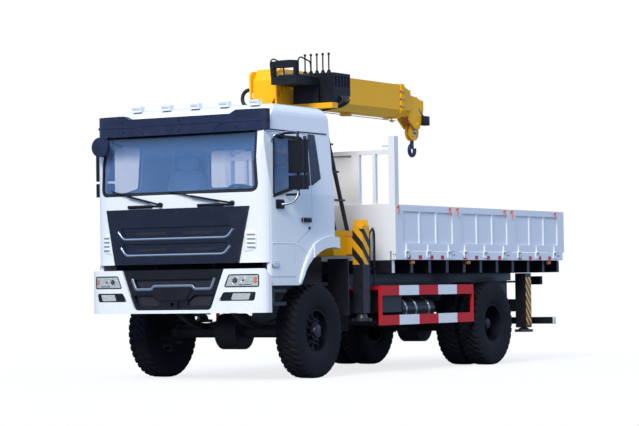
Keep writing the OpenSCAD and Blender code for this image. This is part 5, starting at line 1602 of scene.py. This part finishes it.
    def panels(self) -> None:
        """Corner vents with slots in painted shade under their hoods, pillar panels with ribs, and
        the gutters.
        """
        vent = plate(soft_corners(self.vent, 0.02, 4, 3), FRONT, 0.006, 0.004)
        put_both("corner_vents", vent, CAB_WHITE, "cab")
        (y0, y1), half, up = self.slot_y, self.slot_half, self.hood_up
        # The slots are grey plates of painted shade under the hoods.
        put_both("vent_slots", joined(*(
            pane((y0, z - half, y1, z + half), sunk(FRONT, 0.005), 0.0022, 0.001, 0.008, 3)
            for z in self.vent_slots
        )), VENT_SLOT_SHADE, "cab")
        start, bend, end = self.hood_y
        hoods = [[(start, z + up), (bend, z + up), (end, z)] for z in self.vent_slots]
        put_both("vent_hoods", joined(*(
            strip(hood, 0.006, sunk(FRONT, 0.007), self.hood_bead) for hood in hoods
        )), CAB_WHITE, "cab")
        lines = [[(x, z + dz) for x, dz in self.line_ends] for z in self.pillar_lines]
        put_both("pillar_panels", joined(
            plate(soft_corners(self.pillar, 0.02, 4, 6), SIDE, 0.005, 0.003),
            *(strip(line, 0.0, sunk(SIDE, 0.005), self.line_bead) for line in lines),
        ), PILLAR_NAVY, "cab")
        gutter = strip(self.gutter, 0.0, SIDE, self.gutter_bead, 24)
        put_both("roof_gutters", gutter, RUBBER, "cab")

    def doors(self) -> None:
        """Pillar strips, handles and locks on the doors, and the fold that runs on to the wing."""
        post = plate(soft_corners(self.pillar_door, 0.015, 4, 6), SIDE, 0.005, 0.003)
        put_each("pillar_strip_{}", post, PILLAR_NAVY, DOOR)
        lock = joined(soft_block(*self.handle), turned(self.lock, self.lock_at, LEFT, 20))
        put_each("door_lock_{}", lock, TRIM_BLACK, DOOR)
        door = strip(self.door_fold, 0.0, SIDE, self.fold)
        put_each("door_fold_{}", door, CAB_WHITE, DOOR)
        wing = strip(self.wing_fold, 0.06, SIDE, self.fold)
        put_both("wing_folds", wing, CAB_WHITE, "cab")

    def arches(self) -> None:
        """The wing's lip ahead of the flare: a strip round the arch that narrows as it falls.

        Its inner edge is an arc, and its outer edge the same arc with its radius growing
        evenly from the foot to the flare, and turned on as it grows so that it ends in it.
        """
        x, z, r = self.arch
        share = np.linspace(0, 1, 24)
        turn = np.radians(np.interp(share, [0, 1], self.arch_span))
        outer = r + np.interp(share, [0, 1], self.arch_wide)
        inside = np.stack([x + r * np.cos(turn), z + r * np.sin(turn)], axis=1)
        on = turn + np.radians(self.arch_lean) * share
        outside = np.stack([x + outer * np.cos(on), z + outer * np.sin(on)], axis=1)
        lip = plate(np.concatenate([outside, inside[::-1]]), SIDE, 0.027, 0.012, 8)
        put_both("arch_lips", lip, CAB_WHITE, "cab")

    def lamps(self) -> None:
        """Side repeaters on the doors and pale lenses on the roof markers."""
        shell = pane(self.repeater, SIDE, 0.010, 0.004, 0.03, 2)
        put_each("repeater_shell_{}", shell, CHROME, DOOR)
        lens = pane(self.repeater_lens, sunk(SIDE, 0.009), 0.006, 0.004, 0.025, 2)
        put_each("repeater_lens_{}", lens, PALE_LENS, DOOR)
        markers = repeated(soft_block(*self.marker), self.marker_y, 1)
        put("marker_lenses", markers, PALE_LENS, "cab")

    def glasses(self) -> None:
        """Mirror glass on the rear faces, arm roots, and bent stays to the mirrors."""
        rear = flat(0, self.mirror_x, -1)
        glass = joined(*(pane(box, rear, 0.003, 0.002, 0.02, 3) for box in self.mirrors))
        put_each("mirror_glass_{}", glass, MIRROR_GLASS, DOOR)
        root = joined(pane(self.root, SIDE, 0.030, 0.012, 0.02, 2), soft_block(*self.upper_root))
        put_each("mirror_roots_{}", root, TRIM_BLACK, DOOR)
        stay = joined(tube(self.low_stay, 0.014, 0.05, 12), tube(self.high_stay, 0.012, 0.04, 12))
        put("mirror_stays_left", stay, SATIN, "left_door")
        put("mirror_stays_right", other_side(stay), TRIM_BLACK, "right_door")

    def build(self) -> None:
        """Lays the trim on."""
        self.seals()
        wipers = joined(*(self.wiper(*wiper) for wiper in self.wipers))
        put("wipers", wipers, TRIM_BLACK, "cab")
        self.panels()
        self.doors()
        self.arches()
        self.lamps()
        self.glasses()


@dataclass
class FrontTrim:
    """Chrome lips and mesh of the grille, the bumper's silver line, the lamps and the visor."""

    proud: float = 0.026
    slot_floor: float = 0.0105
    lips: tuple[Quad, ...] = ((0.80, 1.738, 0.722, 1.645), (0.762, 1.549, 0.683, 1.458))
    lip_bead: Triple = (0.030, 0.020, 0.008)
    meshes: Pairs = ((1.690, 1.724), (1.502, 1.536))
    mesh_y: Pairs = ((-0.55, -0.12), (0.12, 0.55))
    mouth: Pairs = ((0.578, 1.186), (0.522, 1.062), (0.302, 1.062), (0.262, 1.100))
    chin: Pairs = ((0.60, 1.0), (0.525, 0.862), (0.46, 0.842))
    mouth_bead: Triple = (0.034, 0.014, 0.005)
    chin_bead: Triple = (0.018, 0.010, 0.004)
    # A dark sheet behind the bumper's vents, standing for the shade inside them.
    shade_backing: Pairs = ((-0.50, 0.835), (0.50, 0.835), (0.60, 1.195), (-0.60, 1.195))
    head: Pairs = ((0.717, 1.081), (1.135, 1.081), (1.135, 1.217), (0.775, 1.217))
    fog: Pairs = ((0.645, 0.926), (1.080, 0.926), (1.100, 1.018), (0.705, 1.018))
    fog_lens: Pairs = ((0.80, 0.934), (1.02, 0.934), (1.043, 1.008), (0.825, 1.008))
    lamp_bar: Pairs = ((0.90, 1.096), (1.05, 1.098), (1.05, 1.108), (0.90, 1.108))
    bowls: Pairs = ((0.852, 0.050), (0.952, 0.046))
    bowl_z: float = 1.152
    bowl_step: float = 0.014
    bowl_bead: Triple = (0.010, 0.004, 0.0015)
    eye_r: Pair = (0.034, 0.012)
    head_bead: Triple = (0.014, 0.012, 0.004)
    fog_bead: Triple = (0.010, 0.010, 0.003)
    indicator: Quad = (1.080, 1.120, 1.112, 1.186)
    screws: Pairs = ((0.817, 3.035), (0.794, 2.911), (0.0, 3.025), (0.0, 2.900))
    end_screw: Pairs = ((0, -0.004), (0.016, -0.004), (0.016, 0.005), (0.012, 0.008), (0, 0.008))
    end_screw_at: Triple = (3.70, 1.186, 2.97)
    screw_r: float = 0.017
    edge_bead: Triple = (0.018, 0.007, 0.003)
    visor_edge: Pairs = ((0.47, 2.858), (0.52, 2.92), (0.62, 2.963), (1.12, 2.972))

    def across(self, corners: Points) -> list[Pair]:
        """A line from right to left through the corners' mirror images and the corners."""
        return [(-a, b) for a, b in corners] + [(a, b) for a, b in reversed(corners)]

    def grille(self) -> None:
        """Two bright lips that turn up at their ends, and a sheet of mesh in each slot."""
        put("grille_lips", joined(*(
            strip(self.across([(a, za), (b, zb)]), 0.05, sunk(FRONT, self.proud),
                  self.lip_bead, 16) for a, za, b, zb in self.lips
        )), CHROME, "cab")
        put("grille_mesh", joined(*(
            pane((y0, z0, y1, z1), sunk(FRONT, self.slot_floor), 0.003, 0.001, 0.012, 4)
            for z0, z1 in self.meshes for y0, y1 in self.mesh_y
        )), MESH_DARK, "cab")

    def bumper(self) -> None:
        """The silver line under the bumper's mouth, the rim of its chin, and a dark sheet behind as
        painted shade in its vents.
        """
        # Painted shade: a dark sheet that fills the vents where only shadow shows.
        shade_backing = soft_corners(self.shade_backing, 0.02, 4, 12)
        sheet = plate(shade_backing, sunk(BUMPER, -0.0597), 0.004, 0.002, 10)
        put("bumper_backing", sheet, MESH_DARK, "chassis")
        mouth, chin = self.across(self.mouth), self.across(self.chin)
        line = strip(mouth, 0.018, sunk(BUMPER, -0.023), self.mouth_bead, 14)
        put("bumper_line", line, SATIN, "chassis")
        rim = strip(chin, 0.03, sunk(BUMPER, -0.024), self.chin_bead, 10)
        put("bumper_rim", rim, TRIM_BLACK, "chassis")

    def lamps(self) -> None:
        """Head and fog lamps: bezels, reflector bowls, projector, indicator and clear covers."""
        low = sunk(BUMPER, -0.004)
        head, fog = (soft_corners(outline, 0.02, 4, 10) for outline in (self.head, self.fog))
        inner = soft_corners(self.fog_lens, 0.015, 4, 6)
        put_both("lamp_bezels", joined(
            bead(head, low, self.head_bead),
            plate(fog, low, 0.0015, 0.001),
            bead(fog, low, self.fog_bead),
        ), TRIM_BLACK, "chassis")
        rings = [(y, self.bowl_z, q) for y, r in self.bowls for q in (r, r - self.bowl_step)]
        put_both("lamp_bowls", joined(
            *(bead(round_outline(*ring), low, self.bowl_bead) for ring in rings),
            plate(inner, sunk(BUMPER, -0.0028), 0.002, 0.001),
        ), SILVERING, "chassis")
        (eye, _), (spot, _) = self.bowls
        wide, small = self.eye_r
        put_both("lamp_eyes", joined(
            plate(round_outline(eye, self.bowl_z, wide), low, 0.003, 0.002),
            plate(round_outline(spot, self.bowl_z, small), low, 0.003, 0.001),
            plate(soft_corners(self.lamp_bar, 0.004, 3, 4), low, 0.002, 0.001),
        ), PROJECTOR, "chassis")
        turn = pane(self.indicator, low, 0.003, 0.001, 0.010, 3)
        put_both("lamp_indicators", turn, AMBER, "chassis")
        put_both("lamp_covers", joined(
            plate(head, sunk(BUMPER, -0.0002), 0.002, 0.001, 8),
            plate(inner, BUMPER, 0.002, 0.001, 6),
        ), LENS, "chassis")

    def visor(self) -> None:
        """The curved edge of the visor's raised ends, and capped screws that hold it."""
        edge = strip(self.visor_edge, 0.05, VISOR, self.edge_bead, 10)
        put_both("visor_edges", edge, VISOR_NAVY, "cab")
        put_both("visor_screws", joined(
            *(plate(round_outline(*spot, self.screw_r, 18), VISOR, 0.007, 0.003)
              for spot in self.screws),
            turned(self.end_screw, self.end_screw_at, LEFT, 18),
        ), RUBBER, "cab")

    def build(self) -> None:
        """Dresses the front."""
        self.grille()
        self.bumper()
        self.lamps()
        self.visor()


@dataclass
class Interior:
    """Seats with crowned cushions, lining boards, a mat and the dash's fittings."""

    seat_y: float = 0.64
    half: float = 0.26
    back_share: float = 0.93
    bolster: float = 0.10
    cushion: Quad = (2.66, 3.21, 1.70, 1.865)
    back: Quad = (2.59, 2.735, 1.84, 2.50)
    rest: Quad = (2.60, 2.70, 2.50, 2.66)
    rest_half: float = 0.14
    plinth: Block = ((2.73, -0.173, 1.545), (3.114, 0.173, 1.712), 0.02)
    post: Path = ((2.65, 0.08, 2.44), (2.65, 0.08, 2.56))
    roof: Block = ((2.42, -1.0, 3.118), (3.36, 1.0, 3.128), 0.004)
    wall_x: float = 2.338
    boards: tuple[tuple[Quad, float, int], ...] = (
        ((-1.04, 1.57, 1.04, 2.255), 0.04, 4), ((-1.04, 2.275, -0.60, 2.86), 0.04, 3),
        ((0.60, 2.275, 1.04, 2.86), 0.04, 3), ((-0.58, 2.785, 0.58, 2.86), 0.02, 4))
    mat: Block = ((2.40, -1.02, 1.546), (3.42, 1.02, 1.552), 0.002)
    dash_x: float = 3.43
    dial: Pairs = ((0, 0), (0.05, 0), (0.05, 0.006), (0.044, 0.01), (0.042, 0.006), (0, 0.006))
    dial_y: Triple = (0.53, 0.66, 0.79)
    dial_z: float = 1.96
    vent_y: Quad = (-0.85, -0.45, -0.05, 0.25)
    vent_half: float = 0.07
    vent_z: Pair = (1.94, 2.01)
    hood: Block = ((3.40, 0.42, 2.045), (3.66, 0.90, 2.105), 0.025)

    def pads(self, y: float) -> Patch:
        """Cushion and back, each with two side bolsters, and head rest of one seat.

        Args:
            y: The seat's middle.

        Returns:
            The pads.
        """
        x0, x1, z0, z1 = self.cushion
        a0, a1, c0, c1 = self.back
        h0, h1, k0, k1 = self.rest
        w, b = self.half, self.half * self.back_share
        roll = self.bolster
        sides = ((y - w, y - w + roll), (y + w - roll, y + w))
        back_sides = ((y - b, y - b + roll), (y + b - roll, y + b))
        return joined(
            pillow((x0, y - w, z0), (x1, y + w, z1), 4.2),
            pillow((a0, y - b, c0), (a1, y + b, c1), 4.2),
            *(pillow((x0 + 0.06, p, z1 - 0.05), (x1 - 0.04, q, z1 + 0.03)) for p, q in sides),
            *(pillow((a0 + 0.02, p, c0 + 0.08), (a1 + 0.035, q, c1 - 0.12)) for p, q in back_sides),
            pillow((h0, y - self.rest_half, k0), (h1, y + self.rest_half, k1), 3.2),
        )

    def seats(self) -> None:
        """Seats in place of the plain ones, on the same plinths."""
        spots = (self.seat_y, -self.seat_y)
        stuffed = joined(*(self.pads(y) for y in spots))
        pads = put("seat_pads", stuffed, SEAT_CLOTH, "cab", 60)
        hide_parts("seats")
        post = tube(self.post, 0.007)
        base = repeated(joined(soft_block(*self.plinth), other_side(post), post), spots, 1)
        put("seat_bases", base, TRIM_BLACK, "cab")

    def lining(self) -> None:
        """Boards on the roof and the back wall, and a mat on the floor."""
        wall = flat(0, self.wall_x, 1)
        put("cab_lining", joined(
            soft_block(*self.roof),
            *(pane(box, wall, 0.008, 0.004, radius, fill) for box, radius, fill in self.boards),
        ), LINING, "cab")
        put("floor_mat", soft_block(*self.mat), RUBBER, "cab")

    def dash(self) -> None:
        """Dials, vents and a binnacle on the dash."""
        face, half, (z0, z1) = flat(0, self.dash_x, -1), self.vent_half, self.vent_z
        put("dash_fittings", joined(
            *(turned(self.dial, (self.dash_x, y, self.dial_z), (-1, 0, 0), 28)
              for y in self.dial_y),
            *(pane((y - half, z0, y + half, z1), face, 0.006, 0.003, 0.012, 2)
              for y in self.vent_y),
            soft_block(*self.hood),
        ), TRIM_BLACK, "cab")

    def build(self) -> None:
        """Fits out the cab."""
        self.seats()
        self.lining()
        self.dash()


@dataclass
class BedTrim:
    """Reflectors, lamps, latches and screws of the bed, and what hangs on the chassis."""

    half: float = 1.25
    bay: float = 1.56267
    front_x: float = 0.91
    spot: Quad = (-0.042, 1.397, 0.042, 1.445)
    reflectors: tuple[float, ...] = (
        0.582, 0.288, -0.011, -0.298, -0.915, -1.243, -1.582, -1.911, -2.525, -2.839, -3.14,
        -3.447)
    lamp: tuple[Block, Block] = (
        ((-0.045, 1.195, 1.335), (0.045, 1.232, 1.378), 0.008),
        ((-0.012, 1.19, 1.365), (0.012, 1.205, 1.395), 0.003),
    )
    lamps: Triple = (0.436, -1.068, -3.484)
    screw: Pairs = ((0, 0), (0.009, 0), (0.009, 0.003), (0, 0.004))
    screw_z: float = 1.452
    screw_x: Pair = (0.02, 0.065)
    side_gap: float = 0.012
    side_long: float = 1.443
    grip_in: float = 0.045
    grip: Path = ((0, 1.262, 2.045), (0, 1.272, 2.0), (0, 1.268, 1.955))
    pivot: Pairs = ((0, 0), (0.016, 0), (0.016, 0.02), (0, 0.02))
    pivot_at: Triple = (0, 1.252, 2.045)
    leg: Quad = (-3.032, 0.50, -2.868, 1.16)
    leg_y: float = 1.16
    cap: Block = ((-3.752, 1.176, 0.503), (-3.668, 1.188, 0.602), 0.004)
    tail_x: float = -3.785
    tail_z: Pair = (1.065, 1.165)
    tail_shell: Block = ((-3.787, 0.636, 1.056), (-3.713, 0.974, 1.174), 0.008)
    loop: Path = (
        (0.955, 0.95, 1.78), (1.04, 0.95, 1.72), (1.05, 0.95, 0.85), (0.93, 0.95, 0.85),
        (0.92, 0.95, 1.72), (0.955, 0.95, 1.78))
    rungs: tuple[Path, Path] = (
        ((0.92, 0.95, 1.28), (1.05, 0.95, 1.28)), ((0.92, 0.95, 1.60), (0.88, 0.95, 1.60)))
    strap: Pairs = ((0.1355, -0.02), (0.1395, -0.018), (0.1395, 0.018), (0.1355, 0.02))
    strap_at: Triple = (0, 0.86, 0.77)
    straps: Triple = (-0.40, -0.06, 0.20)
    core: Block = ((3.596, -1.02, 0.80), (3.628, 1.02, 1.47), 0.01)
    fin: Block = ((3.627, -0.60, 0.80), (3.634, 0.60, 0.806), 0.002)
    fins: int = 24
    fin_step: float = 0.022
    pipes: Pairs = ((0.47, 1.02), (0.49, 0.985), (0.47, 0.95))
    pipe: Path = ((1.0, 0, 0), (0.45, 0, 0), (-0.6, 0.03, -0.02), (-1.15, 0, 0.03))

    def curb(self) -> None:
        """Red reflectors along the curb, amber lamps below it, and screws on its posts."""
        spot = pane(self.spot, flat(1, self.half, 1), 0.004, 0.002, 0.006, 0)
        spots = repeated(spot, self.reflectors)
        put_both("bed_reflectors", spots, RED_LENS, "chassis")
        lamp = joined(*(soft_block(*block) for block in self.lamp))
        put_both("bed_side_lamps", repeated(lamp, self.lamps), AMBER, "chassis")
        places = [self.front_x - k * self.bay + x for k in range(4) for x in self.screw_x]
        screw = turned(self.screw, (0, self.half, self.screw_z), LEFT, 12)
        put_both("bed_screws", repeated(screw, places), RUBBER, "chassis")

    def latches(self) -> None:
        """A sprung handle at each end of each dropside: hook, pivot and orange grip."""
        grip = joined(tube(self.grip, 0.007, 0.012), turned(self.pivot, self.pivot_at, LEFT, 14))
        for k in range(3):
            x1 = self.front_x - k * self.bay - self.side_gap
            ends = (x1 - self.side_long + self.grip_in, x1 - self.grip_in)
            name, body = f"latches_{{}}_{k + 1}", f"{{}}_dropside_{k + 1}"
            put_each(name, repeated(grip, ends), ORANGE_GRIP, body)

    def rear(self) -> None:
        """Warning bands on the rear legs' outer faces, caps on the underrun bar, tail lamps."""
        band = pane(self.leg, flat(1, self.leg_y, 1), 0.002, 0.001, 0.004, 8)
        put_both("rear_leg_bands", band, LEG_BANDS, "chassis")
        put_both("underrun_caps", soft_block(*self.cap), BED_WHITE, "chassis")
        shell = soft_block(*self.tail_shell)
        put_both("tail_lamp_shells", shell, TRIM_BLACK, "chassis")
        z0, z1 = self.tail_z
        for word, y0, y1, finish in (
            ("red", 0.645, 0.80, RED_LENS), ("amber", 0.88, 0.965, AMBER),
            ("clear", 0.81, 0.87, PALE_LENS),
        ):
            lens = pane((y0, z0, y1, z1), flat(0, self.tail_x, -1), 0.006, 0.003, 0.01, 2)
            put_both(f"tail_lamp_{word}", lens, finish, "chassis")

    def rails(self) -> None:
        """The grab loop ahead of the bed, the tank's straps, the radiator and air pipes."""
        rungs = [tube(rung, 0.012) for rung in self.rungs]
        loop = joined(tube(self.loop, 0.014, 0.05, 12), *rungs)
        put("grab_loop", loop, CHASSIS_BLACK, "chassis")
        strap = turned(self.strap, self.strap_at, AHEAD, 48)
        put("tank_straps", repeated(strap, self.straps), SATIN, "chassis")
        fins = repeated(soft_block(*self.fin, 1), np.arange(self.fins) * self.fin_step, 2)
        put("radiator", joined(soft_block(*self.core), fins), RADIATOR, "chassis")
        paths = [np.array(self.pipe) + (0, y, z) for y, z in self.pipes]
        pipes = joined(*(tube(path, 0.008, 0.12) for path in paths))
        put("air_pipes", pipes, HOSE, "chassis")

    def build(self) -> None:
        """Dresses the bed and what hangs under it."""
        self.curb()
        self.latches()
        self.rear()
        self.rails()


@dataclass
class CraneTrim:
    """Bolts, ropes, hoses, pads and small fittings of the crane."""

    boom_pin: Triple = (1.80, 0.246, 3.63)
    pin_cap: Pairs = ((0, 0), (0.062, 0), (0.062, 0.008), (0, 0.012))
    pin_bolts: Triple = (0.5, 2.6, 4.7)
    pin_ring: float = 0.04
    pin_lift: float = 0.008
    pin_bolt: Pair = (0.016, 0.009)
    turntable: Triple = (1.6, 0.0, 1.82)
    ring_r: float = 0.275
    ring_bolts: int = 20
    ring_bolt: Pair = (0.030, 0.020)
    winch: Pair = (2.03, 2.90)
    cheek: Pairs = ((0.02, 0), (0.165, 0), (0.165, 0.012), (0.02, 0.012))
    cheek_y: Pair = (0.176, -0.188)
    rope_r: float = 0.011
    drum_r: float = 0.131
    cushions: tuple[tuple[Triple, Triple, float], ...] = (
        ((1.655, 0.272, 3.598), (2.105, 0.612, 3.648), 4.5),
        ((2.088, 0.270, 3.715), (2.170, 0.614, 3.812), 3.4),
    )
    rail_y: Pairs = ((0.250, 0.244), (0.632, 0.636))
    rail_x: tuple[float, ...] = (2.14, 2.155, 2.09, 1.86, 1.84)
    rail_z: tuple[float, ...] = (3.62, 3.80, 3.845, 3.80, 3.62)
    hose: Path = (
        (1.30, 0.822, 3.40), (1.30, 0.86, 3.34), (1.40, 0.80, 3.27), (1.52, 0.50, 3.22),
        (1.55, 0.21, 3.21))
    hose_step: Path = (
        (0.05, 0, 0), (0.05, 0, 0), (0.04, 0, 0), (0, 0.03, 0), (0, 0, 0))
    hoses: int = 4
    boot: Pairs = (
        (0.03, 0), (0.028, 0.012), (0.021, 0.02), (0.023, 0.026), (0.016, 0.036),
        (0.0095, 0.042))
    boot_at: Triple = (1.576, 0.30, 3.679)
    boot_step: float = 0.085
    tip_x: float = -1.30
    pad_x: Pair = (0.03, 0.09)
    pad_y: float = 0.172
    pad_z: Triple = (3.46, 3.56, 3.66)
    pad_bolt: Pair = (0.026, 0.014)
    top_bolts: Path = ((0.06, -0.10, 3.757), (0.06, 0.0, 3.757), (0.06, 0.10, 3.757))
    clip: Block = ((-0.02, -0.10, 3.748), (0.02, -0.02, 3.772), 0.005)
    clips: Quad = (-0.9, -0.2, 0.5, 1.2)
    pipe_y: Triple = (-0.08, -0.055, -0.03)
    pipe_x: Pair = (-1.2, 1.55)
    pipe_z: float = 3.768
    guide: Path = ((-1.15, 0.06, 3.33), (-1.15, 0.06, 3.26))
    guide_bar: Path = ((-1.19, 0.06, 3.262), (-1.11, 0.06, 3.262))
    rope: Path = ((-1.25, 0.06, 3.276), (1.5, 0.06, 3.285))
    head_hose: Path = (
        (-1.62, 0.02, 3.72), (-1.71, 0.06, 3.62), (-1.84, 0.085, 3.47), (-1.955, 0.105, 3.37))
    limit_box: Block = ((-2.038, 0.068, 3.246), (-1.912, 0.159, 3.374), 0.01)
    guard: Pairs = ((0.118, -0.03), (0.128, -0.03), (0.128, 0.03), (0.118, 0.03))
    guard_at: Triple = (-1.805, 0.0, 3.5135)
    hook: Triple = (-1.805, 0.0425, 3.155)
    fall_x: Pair = (-0.08, 0.08)
    fall_y: float = -0.012
    fall_z: Pair = (0.02, 0.22)
    hook_cap: Pairs = ((0, 0), (0.035, 0), (0.035, 0.008), (0.024, 0.014), (0, 0.014))
    hook_bolts: Quad = (0.8, 2.35, 3.93, 5.5)
    hook_ring: float = 0.085
    hook_bolt: Pair = (0.018, 0.010)

    def column(self) -> None:
        """Pin caps and bolts on the column, the turntable's ring of bolts, the winch's reel.

        Each turn of rope on the reel is an arc of the rope's own circle turned about it.
        """
        x, y, z = self.boom_pin
        pins = bolt_ring((x, y + self.pin_lift, z), self.pin_ring, self.pin_bolts, 1, self.pin_bolt)
        cap = joined(turned(self.pin_cap, self.boom_pin, LEFT, 32), pins)
        angles = np.arange(self.ring_bolts) * 2 * math.pi / self.ring_bolts
        ring = bolt_ring(self.turntable, self.ring_r, angles, 2, self.ring_bolt)
        bolts = joined(cap, other_side(cap), ring)
        put("column_bolts", bolts, STEEL, "column")
        reel = turned(self.cheek, (self.winch[0], 0.0, self.winch[1]), LEFT)
        put("winch_cheeks", repeated(reel, self.cheek_y, 1), CRANE_YELLOW, "column")
        t = np.linspace(-0.4, math.pi + 0.4, 7)
        arc = np.stack([self.drum_r + self.rope_r * np.sin(t), self.rope_r * np.cos(t)], axis=-1)
        turn = turned(arc, (self.winch[0], 0.0, self.winch[1]), LEFT)
        wound = repeated(turn, np.arange(-0.15, 0.151, 2 * self.rope_r), 1)
        put("winch_rope", wound, WIRE_ROPE, "column")

    def seat(self) -> None:
        """Cushions on the operator's seat, its arm rails, boots on the levers, and hoses."""
        stuffed = joined(*(pillow(*cushion) for cushion in self.cushions))
        pads = put("operator_pads", stuffed, SEAT_VINYL, "column", 60)
        ends = [(a, b, b, b, a) for a, b in self.rail_y]
        paths = [np.stack([self.rail_x, y, self.rail_z], axis=-1) for y in ends]
        rails = [tube(path, 0.009, 0.04) for path in paths]
        boots = repeated(
            turned(self.boot, self.boot_at, UP, 18), np.arange(1, 6) * self.boot_step, 1)
        put("operator_rails", joined(*rails, boots), TRIM_BLACK, "column")
        paths = [np.array(self.hose) + k * np.array(self.hose_step) for k in range(self.hoses)]
        hoses = joined(*(tube(path, 0.011, 0.05) for path in paths))
        put("control_hoses", hoses, HOSE, "column")

    def boom(self) -> None:
        """Wear-pad bolts round the collar, pipes along the top, rope and head fittings."""
        pads = joined(*(bolt((self.tip_x + x, self.pad_y, z), LEFT, *self.pad_bolt)
                        for x in self.pad_x for z in self.pad_z))
        top = [bolt((self.tip_x + x, y, z), UP, *self.pad_bolt) for x, y, z in self.top_bolts]
        bolts = joined(pads, other_side(pads), *top)
        put("boom_pad_bolts", bolts, STEEL, "boom_base")
        put("boom_pipes", joined(
            repeated(soft_block(*self.clip), self.clips),
            *(tube([(x, y, self.pipe_z) for x in self.pipe_x], 0.008) for y in self.pipe_y),
            tube(self.guide, 0.008),
            tube(self.guide_bar, 0.011),
        ), CRANE_YELLOW, "boom_base")
        put("boom_rope", tube(self.rope, 0.005, sides=8), WIRE_ROPE, "boom_base")
        hose = tube(self.head_hose, 0.011, 0.05)
        put("head_hose", hose, HOSE_BLUE, "boom_top")
        box = soft_block(*self.limit_box)
        put("limit_box", box, TRIM_BLACK, "boom_top")
        guard = turned(self.guard, self.guard_at, LEFT)
        put("head_guard", guard, RED_LENS, "boom_top")

    def block(self) -> None:
        """Falls of rope from the head to the hook's block, and the bolts on its cheeks."""
        x, _, z = self.hook
        falls = joined(*(tube([
            (x + dx, self.fall_y, z + dz) for dz in self.fall_z
        ], 0.006, sides=8) for dx in self.fall_x))
        put("hook_falls", falls, WIRE_ROPE, "hook")
        bolts = bolt_ring(self.hook, self.hook_ring, self.hook_bolts, 1, self.hook_bolt)
        cheek = joined(turned(self.hook_cap, self.hook, LEFT, 24), bolts)
        put_both("hook_bolts", cheek, STEEL, "hook")

    def build(self) -> None:
        """Dresses the crane."""
        self.column()
        self.seat()
        self.boom()
        self.block()


def main() -> None:
    """Builds each sub-assembly in order and logs its name."""
    logging.basicConfig(level=logging.INFO, format="%(message)s")
    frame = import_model()
    Studio().build()
    Frame(frame["nodes"], frame["record"]).dress()
    for part in (Tyres(), WheelTrim(), CabTrim(), FrontTrim(), Interior(), BedTrim(), CraneTrim()):
        LOG.info("building %s", type(part).__name__)
        part.build()


if __name__ == "__main__":
    main()
